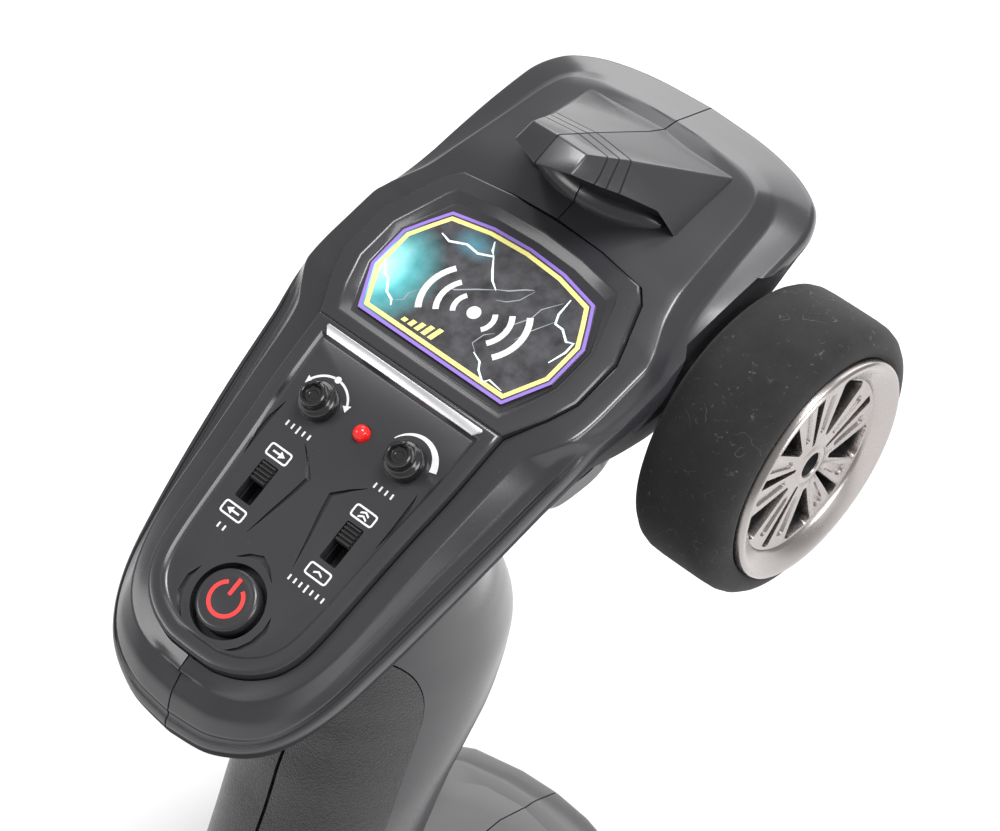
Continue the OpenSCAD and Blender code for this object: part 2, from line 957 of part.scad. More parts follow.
left_shell();
right_shell();
control_panel();
badge_plate();
trim_strip();
status_led();
trim_knob();
rate_knob();
trim_pot();
rate_pot();
reverse_switch_slider();
speed_switch_slider();
reverse_switch_body();
speed_switch_body();
power_button();
power_tact_switch();
wheel_tyre();
wheel_rim();
wheel_shaft();
wheel_screw();
wheel_bush();
steering_pot();
steering_spring();
throttle_trigger();
trigger_pin();
trigger_spring();
trigger_bracket();
throttle_pot();
left_grip_pad();
right_grip_pad();
main_board();
board_screws();
radio_module();
antenna_rod();
power_lead();
battery_tray();
battery_cells();
battery_springs();
battery_plates();
battery_door();
door_pad();
rubber_feet();
housing_screws();
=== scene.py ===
"""Looks of the pistol-grip radio transmitter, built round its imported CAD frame.

Lengths in the tables are in millimetres. The head's tables are in the control panel's frame: x lateral,
y along the panel away from the user, z out of the panel. The rest is in the frame of the CAD model.
"""

import json
import math

import bmesh
import bpy
import numpy as np
from mathutils import Matrix, Vector


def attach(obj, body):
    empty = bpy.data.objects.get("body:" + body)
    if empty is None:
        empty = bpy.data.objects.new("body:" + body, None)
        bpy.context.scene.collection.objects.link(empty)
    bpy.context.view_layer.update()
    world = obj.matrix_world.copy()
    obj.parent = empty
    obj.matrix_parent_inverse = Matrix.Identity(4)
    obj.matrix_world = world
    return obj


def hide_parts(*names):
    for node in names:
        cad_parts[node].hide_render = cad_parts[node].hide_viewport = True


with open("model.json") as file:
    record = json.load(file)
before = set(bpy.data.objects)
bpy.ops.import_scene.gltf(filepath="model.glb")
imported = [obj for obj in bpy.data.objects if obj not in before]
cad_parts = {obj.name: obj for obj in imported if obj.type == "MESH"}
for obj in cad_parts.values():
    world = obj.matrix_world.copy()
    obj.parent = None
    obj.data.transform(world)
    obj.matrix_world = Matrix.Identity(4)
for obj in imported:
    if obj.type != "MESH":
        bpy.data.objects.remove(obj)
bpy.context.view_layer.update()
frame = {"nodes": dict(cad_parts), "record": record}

MM = 0.001
PANEL = Matrix.Translation((0, -11, 178)) @ Matrix.Rotation(math.radians(30), 4, "X")
# The badge's plane falls towards the front; x and y stay those of the panel
BADGE = PANEL @ Matrix(((1, 0, 0, 0), (0, 1, 0, 0), (0, -math.tan(math.radians(12.2)), 1, 2.8), (0, 0, 0, 1)))
WORLD = Matrix.Identity(4)
SAMPLES = 150


# ---- curves and meshes

def smooth_rows(rows, count):
    """Monotone cubic through the rows, resampled evenly to count rows, so nothing overshoots."""
    rows = np.array(rows, float)
    n = len(rows)
    step = rows[1:] - rows[:-1]
    slope = np.zeros_like(rows)
    for i in range(1, n - 1):
        same = step[i - 1] * step[i] > 0
        mean = 2 * step[i - 1] * step[i] / np.where(same, step[i - 1] + step[i], 1)
        slope[i] = np.where(same, mean, 0)
    slope[0], slope[-1] = step[0], step[-1]
    out = []
    for t in np.linspace(0, n - 1, count):
        i = min(int(t), n - 2)
        u = t - i
        a, b = rows[i], rows[i + 1]
        out.append((2 * u**3 - 3 * u**2 + 1) * a + (u**3 - 2 * u**2 + u) * slope[i]
                   + (-2 * u**3 + 3 * u**2) * b + (u**3 - u**2) * slope[i + 1])
    return np.array(out)


def rounded(corners, radii, steps=4, closed=False):
    """A polyline whose corners are rounded by their radius. Each corner gives steps + 1 points."""
    corners = [np.array(c, float) for c in corners]
    n = len(corners)
    out = []
    for i, here in enumerate(corners):
        if not closed and i in (0, n - 1):
            out.append(here)
            continue
        before, after = corners[i - 1], corners[(i + 1) % n]
        reach_a = min(radii[i], 0.48 * np.linalg.norm(before - here))
        reach_b = min(radii[i], 0.48 * np.linalg.norm(after - here))
        a = here + (before - here) * (reach_a / max(np.linalg.norm(before - here), 1e-6))
        b = here + (after - here) * (reach_b / max(np.linalg.norm(after - here), 1e-6))
        for k in range(steps + 1):
            t = k / steps
            out.append((1 - t)**2 * a + 2 * t * (1 - t) * here + t**2 * b)
    return out


def inset_outline(outline, distance):
    """A closed plan outline moved inwards by distance; the outline runs anticlockwise."""
    pts = np.array(outline, float)
    before = np.roll(pts, 1, axis=0)
    after = np.roll(pts, -1, axis=0)
    d1 = (pts - before) / np.linalg.norm(pts - before, axis=1)[:, None]
    d2 = (after - pts) / np.linalg.norm(after - pts, axis=1)[:, None]
    n1 = np.stack([-d1[:, 1], d1[:, 0]], 1)
    n2 = np.stack([-d2[:, 1], d2[:, 0]], 1)
    mid = n1 + n2
    mid /= np.linalg.norm(mid, axis=1)[:, None]
    return pts + mid * (distance / np.maximum((mid * n1).sum(1), 0.5))[:, None]


def mirrored(half):
    """The right half of an outline, from front to back or back to front, closed with its left half."""
    return [(x, y) for x, y in half] + [(-x, y) for x, y in reversed(half) if abs(x) > 1e-6]


def anticlockwise(outline):
    pts = np.array(outline, float)
    area = (pts[:, 0] * np.roll(pts[:, 1], -1) - np.roll(pts[:, 0], -1) * pts[:, 1]).sum()
    return list(outline) if area > 0 else list(reversed(outline))


def at(outline, z):
    """A plan outline laid at a height"""
    return [(x, y, z) for x, y in outline]


def polar(radius, angle, centre=(0, 0), stretch=1):
    """A point on a circle, or on an ellipse stretched along x"""
    return centre[0] + radius * stretch * math.cos(angle), centre[1] + radius * math.sin(angle)


def link(obj):
    bpy.context.scene.collection.objects.link(obj)
    return obj


def build(points, faces, matrix=WORLD):
    """A bare mesh object in millimetres of the CAD frame, with its faces turned outwards."""
    bm = bmesh.new()
    verts = [bm.verts.new(matrix @ Vector(p)) for p in points]
    for face in faces:
        if len(set(face)) > 2:
            bm.faces.new([verts[i] for i in face])
    bmesh.ops.remove_doubles(bm, verts=bm.verts, dist=1e-4)
    bmesh.ops.dissolve_degenerate(bm, dist=1e-5, edges=bm.edges)
    bmesh.ops.recalc_face_normals(bm, faces=bm.faces)
    mesh = bpy.data.meshes.new("work")
    bm.to_mesh(mesh)
    bm.free()
    return link(bpy.data.objects.new("work", mesh))


def stack(rings, matrix=WORLD, caps=(True, True)):
    """A closed solid through rings of equal length, one over the other."""
    count = len(rings[0])
    points = [p for ring in rings for p in ring]
    faces = []
    for r in range(len(rings) - 1):
        for k in range(count):
            n = (k + 1) % count
            faces.append((r * count + k, r * count + n, (r + 1) * count + n, (r + 1) * count + k))
    if caps[0]:
        faces.append(tuple(range(count)))
    if caps[1]:
        faces.append(tuple((len(rings) - 1) * count + k for k in range(count)))
    return build(points, faces, matrix)


def prism(outline, low, high, matrix=WORLD):
    return stack([at(outline, low), at(outline, high)], matrix)


def block(low, high, matrix=WORLD):
    return prism([(low[0], low[1]), (high[0], low[1]), (high[0], high[1]), (low[0], high[1])],
                 low[2], high[2], matrix)


def circle(radius, count=48, centre=(0, 0)):
    return [polar(radius, 2 * math.pi * k / count, centre) for k in range(count)]


def across(x, y, z):
    """Local frame whose z runs along the CAD frame's X, whose x runs along Y and whose y runs along Z."""
    return Matrix(((0, 0, 1, x), (1, 0, 0, y), (0, 1, 0, z), (0, 0, 0, 1)))


# The steering wheel's shaft
AXIS = across(0, 49.5, 165)


def lathe(profile, matrix, count=96):
    """A closed (radius, height) profile turned round the local z axis."""
    points = [(*polar(r, 2 * math.pi * k / count), h) for k in range(count) for r, h in profile]
    width = len(profile)
    faces = []
    for k in range(count):
        n = (k + 1) % count
        for i in range(width):
            j = (i + 1) % width
            if profile[i][0] or profile[j][0]:
                faces.append((k * width + i, k * width + j, n * width + j, n * width + i))
    return build(points, faces, matrix)


def combine(target, tool, operation, keep=False):
    """Boolean of target with tool, applied; the tool is removed unless it is kept."""
    step = target.modifiers.new("cut", "BOOLEAN")
    step.operation = operation
    step.solver = "MANIFOLD"
    step.object = tool
    apply(target)
    if not keep:
        bpy.data.objects.remove(tool)
    return target


def cut(target, *tools):
    """Target without the tools, one after the other"""
    for tool in tools:
        combine(target, tool, "DIFFERENCE")
    return target


def union_of(*parts):
    whole = parts[0]
    for part in parts[1:]:
        combine(whole, part, "UNION")
    return whole


def apply(obj):
    bpy.context.view_layer.update()
    done = bpy.data.meshes.new_from_object(obj.evaluated_get(bpy.context.evaluated_depsgraph_get()))
    obj.modifiers.clear()
    obj.data = done
    return obj


def copy(obj):
    twin = obj.copy()
    twin.data = obj.data.copy()
    return link(twin)


def half_of(obj, side, gap=0.15):
    """The part of a solid on one side of the seam, starting gap past the centre plane, and closed."""
    bm = bmesh.new()
    bm.from_mesh(obj.data)
    geometry = bm.verts[:] + bm.edges[:] + bm.faces[:]
    bmesh.ops.bisect_plane(bm, geom=geometry, plane_co=(side * gap, 0, 0), plane_no=(-side, 0, 0),
                           clear_outer=True, dist=1e-4)
    bmesh.ops.remove_doubles(bm, verts=bm.verts, dist=1e-4)
    rim = [e for e in bm.edges if e.is_boundary]
    bmesh.ops.holes_fill(bm, edges=rim, sides=0)
    bmesh.ops.recalc_face_normals(bm, faces=bm.faces)
    half = copy(obj)
    bm.to_mesh(half.data)
    bm.free()
    return half


def bevel(obj, width, segments=3, angle=30):
    step = obj.modifiers.new("edge", "BEVEL")
    step.width = width
    step.segments = segments
    step.limit_method = "ANGLE"
    step.angle_limit = math.radians(angle)
    step.harden_normals = False
    return apply(obj)


def finish_piece(obj, name, material, body="housing", node=None, smooth=35):
    """Turns a work object into a finished piece in metres, riding on its body."""
    obj.name = name
    obj.data.name = name
    obj.data.transform(Matrix.Scale(MM, 4))
    obj.data.materials.clear()
    obj.data.materials.append(material)
    for face in obj.data.polygons:
        face.use_smooth = True
    limit = math.cos(math.radians(smooth))  # edges bent by more are drawn sharp
    bm = bmesh.new()
    bm.from_mesh(obj.data)
    for edge in bm.edges:
        sides = edge.link_faces
        edge.smooth = len(sides) == 2 and sides[0].normal.dot(sides[1].normal) >= limit
    bm.to_mesh(obj.data)
    bm.free()
    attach(obj, body)
    if node:
        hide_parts(node)
    return obj


def skin(obj, node, slot, body="housing", smooth=35):
    """The piece that replaces one CAD node, with the finish of its slot"""
    return finish_piece(obj, node + "_skin", FINISH[slot], body, node, smooth)


# ---- materials

class Nodes:
    """Small helper for writing a material's nodes in order. Colours are given without their alpha."""

    SOCKETS = {"colour": "Base Color", "roughness": "Roughness", "metallic": "Metallic", "normal": "Normal",
               "coat": "Coat Weight", "coat_roughness": "Coat Roughness", "specular": "Specular IOR Level",
               "sheen": "Sheen Weight", "sheen_roughness": "Sheen Roughness", "glow": "Emission Color",
               "glow_strength": "Emission Strength", "transmission": "Transmission Weight",
               "subsurface": "Subsurface Weight", "subsurface_scale": "Subsurface Scale"}

    def __init__(self, name):
        self.material = bpy.data.materials.new(name)
        self.material.use_nodes = True
        self.tree = self.material.node_tree
        self.shader = self.tree.nodes["Principled BSDF"]
        coord = self.tree.nodes.new("ShaderNodeTexCoord")
        self.place = coord.outputs["Object"]
        self.facing = coord.outputs["Normal"]

    def add(self, kind, inputs=None, **settings):
        node = self.tree.nodes.new(kind)
        for key, value in settings.items():
            setattr(node, key, value)
        for key, value in (inputs or {}).items():
            self.put(value, node.inputs[key])
        return node

    def put(self, value, socket):
        if isinstance(value, bpy.types.NodeSocket):
            self.tree.links.new(value, socket)
        elif socket.type == "RGBA":
            socket.default_value = (*value, 1)
        else:
            socket.default_value = value

    def noise(self, scale, detail=3, roughness=0.5, stretch=None):
        place = self.place
        if stretch:
            place = self.add("ShaderNodeMapping", {"Vector": self.place, "Scale": stretch}).outputs[0]
        return self.add("ShaderNodeTexNoise", {"Vector": place, "Scale": scale, "Detail": detail,
                                               "Roughness": roughness}).outputs[0]

    def maths(self, operation, a, b=0.0, clamp=False):
        return self.add("ShaderNodeMath", {0: a, 1: b}, operation=operation, use_clamp=clamp).outputs[0]

    def plus(self, a, b):
        return self.maths("ADD", a, b)

    def minus(self, a, b, clamp=False):
        return self.maths("SUBTRACT", a, b, clamp)

    def times(self, a, b, clamp=False):
        return self.maths("MULTIPLY", a, b, clamp)

    def vector(self, operation, *inputs, out=0):
        return self.add("ShaderNodeVectorMath", dict(enumerate(inputs)), operation=operation).outputs[out]

    def cells(self, scale, place=None, **settings):
        """Distance within a Voronoi pattern"""
        inputs = {"Vector": self.place if place is None else place, "Scale": scale}
        return self.add("ShaderNodeTexVoronoi", inputs, **settings).outputs["Distance"]

    def ramp(self, value, stops):
        node = self.add("ShaderNodeValToRGB", {"Fac": value})
        ramp = node.color_ramp
        while len(ramp.elements) < len(stops):
            ramp.elements.new(0.5)
        for element, (position, colour) in zip(ramp.elements, stops):
            element.position = position
            element.color = (*colour, 1)
        return node.outputs[0]

    def rise(self, value, start, end):
        """0 up to start, 1 from end on"""
        return self.ramp(value, [(start, (0, 0, 0)), (end, (1, 1, 1))])

    def mix(self, share, a, b):
        node = self.add("ShaderNodeMix", data_type="RGBA")
        for value, socket in ((share, 0), (a, 6), (b, 7)):
            self.put(value, node.inputs[socket])
        return node.outputs[2]

    def level(self, value, low, high):
        """value from 0..1 mapped to low..high"""
        return self.add("ShaderNodeMapRange", {0: value, 3: low, 4: high}).outputs[0]

    def bump(self, height, strength, distance, normal=None):
        node = self.add("ShaderNodeBump", {"Height": height, "Strength": strength, "Distance": distance})
        if normal is not None:
            self.put(normal, node.inputs["Normal"])
        return node.outputs[0]

    def edges(self, radius=0.0004):
        """1 on rounded edges, where wear and a painted highlight go, 0 on flats, from the bent normal of the
        Bevel node.
        """
        bent = self.add("ShaderNodeBevel", {"Radius": radius}, samples=4).outputs[0]
        true = self.add("ShaderNodeNewGeometry").outputs["Normal"]
        return self.times(self.minus(1.0, self.vector("DOT_PRODUCT", bent, true, out="Value")), 6.0, True)

    def surface(self, **inputs):
        for key, value in inputs.items():
            self.put(value, self.shader.inputs[self.SOCKETS[key]])
        return self.material


def tint(colour, gain, lift=0.0):
    return tuple(min(1, c * gain + lift) for c in colour)


def moulded_plastic(name, colour, rough=0.36, grain=0.5, coat=0.0, lint=0.35):
    """Satin moulded plastic: fine grain, slow gloss variation, polished edges lightened by wear and a painted
    highlight, and a little dust.
    """
    n = Nodes(name)
    slow = n.noise(45, 3)
    fine = n.noise(2600, 2)
    dust = n.rise(n.noise(700, 4, 0.7), 0.70, 0.76)
    edge = n.edges()
    base = n.mix(slow, colour, tint(colour, 1.25, 0.004))
    # Rounded edges are lightened in colour: partly edge wear, partly a painted highlight
    base = n.mix(n.times(edge, 0.35), base, tint(colour, 2.2, 0.01))
    base = n.mix(n.times(dust, lint * 0.10), base, (0.5, 0.5, 0.5))
    gloss = n.level(slow, rough - 0.05, rough + 0.06)
    gloss = n.minus(gloss, n.times(edge, 0.08))
    gloss = n.plus(gloss, n.times(dust, 0.1))
    waves = n.bump(n.noise(60, 2), 0.06, 0.0006)
    normal = n.bump(fine, 0.10 * grain, 0.00005, waves)
    # Faces turned down are left rough from the mould
    facing = n.add("ShaderNodeSeparateXYZ", {"Vector": n.facing}).outputs["Z"]
    down = n.times(n.minus(-0.04, facing), 6.0, True)
    gloss = n.plus(gloss, n.times(down, 0.35))
    specular = n.minus(0.5, n.times(down, 0.46))
    film = n.minus(coat, n.times(down, coat)) if coat else 0.0
    return n.surface(colour=base, roughness=gloss, normal=normal, specular=specular, coat=film,
                     coat_roughness=0.12)


def gloss_plastic(name, colour, rough=0.16):
    """Polished plastic with faint wipe marks and dust."""
    n = Nodes(name)
    wipe = n.noise(90, 4, 0.6, (1, 3, 1))
    dust = n.rise(n.noise(900, 3, 0.7), 0.71, 0.76)
    edge = n.edges(0.0003)
    base = n.mix(n.times(dust, 0.06), colour, (0.45, 0.45, 0.45))
    # Rounded edges are lightened in colour: partly edge wear, partly a painted highlight
    base = n.mix(n.times(edge, 0.3), base, tint(colour, 2, 0.01))
    normal = n.bump(n.noise(240, 2), 0.04, 0.0002)
    return n.surface(colour=base, roughness=n.level(wipe, rough - 0.05, rough + 0.09), normal=normal,
                     coat=0.3, coat_roughness=0.08)


def foam_rubber(name):
    """Fine closed-cell foam: soft pores, pale dust and lint, no shine."""
    n = Nodes(name)
    pores = n.cells(3400.0)
    grit = n.noise(2600, 4, 0.7)
    cloud = n.level(n.noise(120, 5, 0.7), -0.4, 1.4)
    lint = n.rise(n.noise(620, 6, 0.8, (1, 1, 1.6)), 0.60, 0.72)
    crossing = n.maths("ABSOLUTE", n.minus(n.noise(210, 2, 0.4), 0.5))
    fibre = n.times(n.maths("LESS_THAN", crossing, 0.0035), n.maths("GREATER_THAN", n.noise(150, 2), 0.58))
    base = n.mix(cloud, (0.004, 0.004, 0.0045), (0.016, 0.016, 0.017))
    base = n.mix(n.times(grit, 0.4), base, (0.020, 0.020, 0.020))
    base = n.mix(n.times(lint, 0.20), base, (0.42, 0.42, 0.42))
    base = n.mix(n.times(fibre, 0.10), base, (0.5, 0.5, 0.5))
    normal = n.bump(pores, 0.35, 0.00010, n.bump(grit, 0.35, 0.00010))
    return n.surface(colour=base, roughness=n.level(grit, 0.82, 0.96), normal=normal, specular=0.3,
                     sheen=0.07, sheen_roughness=0.5)


def satin_metal(name, colour, rough=0.27, grain=(1, 1, 1), scratches=0.12):
    """Plated or turned metal with fine scratches and duller patches."""
    n = Nodes(name)
    slow = n.noise(70, 3)
    lines = n.noise(1500, 3, 0.6, grain)
    edge = n.edges(0.0003)
    base = n.mix(slow, tint(colour, 0.82), colour)
    # Rounded edges are lightened in colour: partly edge wear, partly a painted highlight
    base = n.mix(n.times(edge, 0.5), base, tint(colour, 1.2))
    gloss = n.plus(n.level(slow, rough - 0.05, rough + 0.05), n.times(n.minus(lines, 0.5), scratches))
    return n.surface(colour=base, roughness=gloss, metallic=1.0, normal=n.bump(lines, 0.06, 0.00004))


def leather_grain(name):
    """Soft grip plastic with a moulded leather grain: pebbles between fine creases."""
    n = Nodes(name)
    warp = n.add("ShaderNodeMapping", {"Vector": n.place, "Scale": (1, 1, 0.8)}).outputs[0]
    bend = n.add("ShaderNodeTexNoise", {"Vector": warp, "Scale": 300.0, "Detail": 2.0}).outputs["Color"]
    bend = n.add("ShaderNodeVectorMath", {0: bend, "Scale": 0.0009}, operation="SCALE").outputs[0]
    creases = n.rise(n.cells(1900.0, n.vector("ADD", warp, bend), feature="DISTANCE_TO_EDGE"), 0.0, 0.22)
    small = n.noise(2300, 3)
    slow = n.noise(60, 3)
    # Painted shade: the creases are darker in colour than the pebbles between them
    base = n.mix(creases, (0.006, 0.006, 0.007), (0.016, 0.016, 0.018))
    base = n.mix(n.times(slow, 0.5), base, (0.020, 0.020, 0.023))
    normal = n.bump(small, 0.15, 0.00006, n.bump(creases, 0.5, 0.00012))
    return n.surface(colour=base, roughness=n.level(small, 0.26, 0.42), normal=normal, specular=0.55)


def soft_rubber(name, colour=(0.012, 0.012, 0.012)):
    n = Nodes(name)
    grit = n.noise(1800, 3)
    slow = n.noise(80, 3)
    base = n.mix(slow, colour, tint(colour, 1.9, 0.004))
    return n.surface(colour=base, roughness=n.level(grit, 0.62, 0.85), normal=n.bump(grit, 0.3, 0.00008))


def painted(name, colour, rough=0.45, wear=0.25):
    """Pad-printed ink: slightly uneven, thin in places."""
    n = Nodes(name)
    thin = n.rise(n.noise(1900, 4, 0.7), 0.3, 0.62)
    slow = n.noise(200, 2)
    base = n.mix(n.times(n.minus(1.0, thin), wear), colour, tint(colour, 0.45))
    return n.surface(colour=base, roughness=n.level(slow, rough - 0.08, rough + 0.08),
                     normal=n.bump(thin, 0.08, 0.00003))


def circuit_board(name):
    """Green solder mask with traces and pads."""
    n = Nodes(name)
    traces = n.cells(420.0, distance="MANHATTAN", feature="DISTANCE_TO_EDGE")
    line = n.ramp(traces, [(0.0, (1, 1, 1)), (0.06, (0, 0, 0))])
    pads = n.ramp(n.cells(330.0), [(0.10, (1, 1, 1)), (0.14, (0, 0, 0))])
    base = n.mix(n.noise(120, 2), (0.012, 0.085, 0.030), (0.020, 0.125, 0.045))
    base = n.mix(n.times(line, 0.6), base, (0.05, 0.25, 0.08))
    base = n.mix(pads, base, (0.55, 0.55, 0.52))
    return n.surface(colour=base, roughness=n.level(pads, 0.25, 0.4), metallic=n.times(pads, 0.9),
                     normal=n.bump(line, 0.3, 0.00003))


def cell_jacket(name):
    """Shrunk jacket of a cell: dark with a copper end and one pale band between, under clear film."""
    n = Nodes(name)
    split = n.add("ShaderNodeSeparateXYZ", {"Vector": n.place}).outputs["X"]
    copper = n.maths("GREATER_THAN", split, 0.016)
    band = n.maths("LESS_THAN", n.maths("ABSOLUTE", n.minus(split, 0.0145)), 0.0007)
    slow = n.noise(150, 3)
    base = n.mix(copper, (0.02, 0.02, 0.022), (0.62, 0.30, 0.10))
    base = n.mix(band, base, (0.75, 0.72, 0.65))
    base = n.mix(n.times(slow, 0.2), base, n.rise(split, 0.0, 1.0))
    return n.surface(colour=base, roughness=n.level(slow, 0.22, 0.38), normal=n.bump(slow, 0.1, 0.0002),
                     coat=0.5)


def led_lens(name):
    """Red tinted epoxy with a faint red glow painted on as a highlight."""
    n = Nodes(name)
    cloud = n.noise(900, 2)
    base = n.mix(cloud, (0.62, 0.010, 0.012), (0.90, 0.035, 0.03))
    # The faint red emission is a painted highlight, not a lit lamp
    return n.surface(colour=base, roughness=n.level(cloud, 0.06, 0.14), transmission=0.25,
                     subsurface=0.4, subsurface_scale=0.001, glow=(0.9, 0.02, 0.02), glow_strength=0.18,
                     normal=n.bump(cloud, 0.05, 0.0001))


def badge_print(name):
    """Printed badge: black smoke, cyan glow at the left, clear film. UV is the panel's x and y / 100."""
    n = Nodes(name)
    place = n.add("ShaderNodeUVMap").outputs[0]
    smoke = n.add("ShaderNodeTexNoise", {"Vector": place, "Scale": 26.0, "Detail": 5.0,
                                         "Roughness": 0.6}).outputs[0]
    base = n.ramp(smoke, [(0.3, (0.016, 0.016, 0.019)), (0.7, (0.075, 0.075, 0.082))])

    def glow(centre, size, power, strength):
        away = n.vector("DIVIDE", n.vector("SUBTRACT", place, centre), size)
        far = n.vector("LENGTH", away, out="Value")
        near = n.maths("POWER", n.minus(1.0, far, True), power)
        return n.times(near, n.level(smoke, strength * 0.55, strength * 1.25), True)

    base = n.mix(glow((-0.178, 0.252, 0), (0.105, 0.12, 1), 1.1, 1.1), base, (0.10, 0.62, 0.66))
    base = n.mix(glow((-0.182, 0.262, 0), (0.050, 0.07, 1), 1.2, 1.0), base, (0.50, 0.90, 0.88))
    base = n.mix(glow((-0.085, 0.385, 0), (0.05, 0.035, 1), 1.3, 0.7), base, (0.10, 0.34, 0.44))
    specks = n.rise(n.noise(1500, 3, 0.7), 0.70, 0.75)
    base = n.mix(n.times(specks, 0.10), base, (0.6, 0.6, 0.6))
    return n.surface(colour=base, roughness=n.level(n.noise(120, 3), 0.24, 0.36), coat=0.25,
                     coat_roughness=0.12, normal=n.bump(n.noise(500, 2), 0.04, 0.0001))


FINISH = {
    "shell": moulded_plastic("shell_plastic", (0.017, 0.017, 0.020), 0.28, 0.8, 0.2),
    "panel": moulded_plastic("panel_plastic", (0.019, 0.019, 0.022), 0.27, 0.5, 0.2),
    "trim": satin_metal("satin_trim", (0.80, 0.80, 0.82), 0.36, (1, 14, 1)),
    "led": led_lens("red_lens"),
    "knobs": gloss_plastic("black_gloss", (0.010, 0.010, 0.011)),
    "button": moulded_plastic("button_plastic", (0.020, 0.020, 0.022), 0.24, 0.3),
    "sliders": moulded_plastic("slider_plastic", (0.012, 0.012, 0.013), 0.40, 0.6),
    "foam_tyre": foam_rubber("foam"),
    "rim": satin_metal("champagne_plating", (0.41, 0.38, 0.37), 0.27, scratches=0.06),
    "steel": satin_metal("bright_steel", (0.62, 0.62, 0.64), 0.22, (1, 1, 12)),
    "dark_plastic": moulded_plastic("black_plastic", (0.014, 0.014, 0.016), 0.42, 1.0),
    "grip_pad": leather_grain("grip_grain"),
    "board": circuit_board("circuit"),
    "pots": moulded_plastic("blue_plastic", (0.03, 0.10, 0.28), 0.35, 0.5),
    "gold": satin_metal("gilt_brass", (0.72, 0.52, 0.20), 0.25),
    "lead": soft_rubber("red_insulation", (0.35, 0.015, 0.015)),
    "cells": cell_jacket("cell_jacket"),
    "rubber": soft_rubber("black_rubber"),
}
WHITE_INK = painted("white_ink", (0.68, 0.68, 0.68))
RED_INK = painted("red_ink", (0.85, 0.045, 0.045), 0.3, 0.1)
YELLOW_INK = painted("yellow_ink", (0.80, 0.72, 0.24), 0.3, 0.1)
VIOLET_INK = painted("violet_ink", (0.26, 0.16, 0.55), 0.3, 0.1)
ICE_INK = painted("ice_ink", (0.80, 0.93, 0.95), 0.3, 0.1)
FAINT_INK = painted("faint_ink", (0.30, 0.32, 0.35), 0.3, 0.2)
BADGE_PRINT = badge_print("badge_print")

for row in frame["record"]["subparts"]:
    node = frame["nodes"][row["node"]]
    if row["material_slot"] in FINISH:
        node.data.materials.clear()
        node.data.materials.append(FINISH[row["material_slot"]])


# ---- head of the two shells

# Right half of the head, from the rear centre round the side to the front centre. Each row has the top
# edge, the foot of the wall below it, the outer edge of the ledge, and the edge of the underside.
HEAD = [
    [(0, -49.6, -2.8), (0, -53.2, -4.5), (0, -58, -10.2), (0, -55, -15.5)],
    [(6, -49.2, -2.7), (6.6, -52.7, -4.5), (7, -57.3, -10), (4, -54, -16.5)],
    [(10.8, -48, -2.5), (11.9, -51.1, -4.6), (12.4, -55.3, -9.5), (7.5, -52, -18.5)],
    [(15, -45.4, -2.2), (16.5, -48.1, -4.7), (17.2, -52, -8.8), (10, -49, -21.5)],
    [(18.3, -41.3, -1.8), (19.7, -43.4, -4.8), (21, -46.8, -8), (12, -44, -24.5)],
    [(20.6, -35.5, -1.5), (21.8, -36.6, -4.9), (23.9, -39.5, -7.2), (13, -37, -27.3)],
    [(22.1, -28, -1.2), (22.9, -28.2, -5), (25.9, -30, -6.5), (13.8, -28.5, -29.5)],
    [(23.1, -15, -1), (24.6, -15, -5), (28.2, -15.5, -5.9), (14.4, -15.5, -32.8)],
    [(24.1, -2, -0.9), (26.5, -2.5, -5), (29.9, -2.5, -5.7), (14.5, -2.5, -36.3)],
    [(25, 9, -0.9), (28.3, 9.5, -5), (31.2, 9.5, -5.7), (14.2, 9.5, -40.5)],
    [(25.7, 12, -1), (28.9, 12.8, -4.7), (31.7, 12.8, -5.6), (14.1, 12.8, -42)],
    [(27.9, 15.4, -1.2), (29.6, 15.8, -3.8), (32.1, 16, -5.5), (14, 16, -43.5)],
    [(30, 19, -1.6), (30.8, 19.4, -2.6), (32.6, 20.5, -6), (14.5, 20.5, -45.6)],
    [(30.8, 22.5, -2.5), (31.6, 22.6, -4.4), (33, 24.5, -7.3), (16, 25, -47.7)],
    [(31, 27, -3.7), (32.2, 27, -6.6), (33.2, 28.5, -8.7), (17.3, 29, -49.3)],
    [(31, 36, -6), (32.3, 36, -9.3), (33.2, 36, -10.9), (19, 36, -51.5)],
    [(30.2, 39.5, -7), (31.6, 39.8, -10.4), (32.8, 40, -12), (19.6, 40.5, -52.4)],
    [(27, 46.5, -8.5), (29.3, 47, -12.4), (32.1, 47, -14), (20, 47, -53)],
    [(25.9, 51, -9.3), (28.3, 51.5, -13.5), (31.8, 52, -15.2), (20, 52.5, -53)],
    [(24.4, 62, -13.2), (26.8, 62.2, -17.2), (32, 62.6, -18.8), (19.8, 63, -51)],
    [(23.1, 71.5, -16.6), (25.5, 72.5, -20.3), (31.6, 73.4, -22.6), (18.5, 72.5, -46.5)],
    [(21.2, 75.6, -18), (23.4, 77, -21.2), (29.1, 79.8, -24.8), (16, 78.5, -41.5)],
    [(16, 78.2, -18.9), (17.5, 80.2, -21.4), (21.3, 84.4, -26.3), (11, 82.2, -37.5)],
    [(8.2, 79.2, -19.4), (9, 81.4, -21.8), (10.9, 86.4, -27), (5.5, 83.8, -35.3)],
    [(0, 79.5, -19.5), (0, 81.8, -21.9), (0, 87, -27.2), (0, 84.4, -34.8)],
]
# Share of the groove between the ledge and its outer band at each row
GROOVE_DEPTH = [1] * 10 + [0.8, 0.3] + [0] * 13
# Height of the deck on the centre line: (distance along the panel, height)
DECK_CENTRE = [(-60, -2.9), (-46, -1), (12, -0.9), (24, -2.6), (50, -7), (56, -8), (66, -11.5), (79.5, -19.5)]


def deck_height(y):
    return float(np.interp(y, [p[0] for p in DECK_CENTRE], [p[1] for p in DECK_CENTRE]))


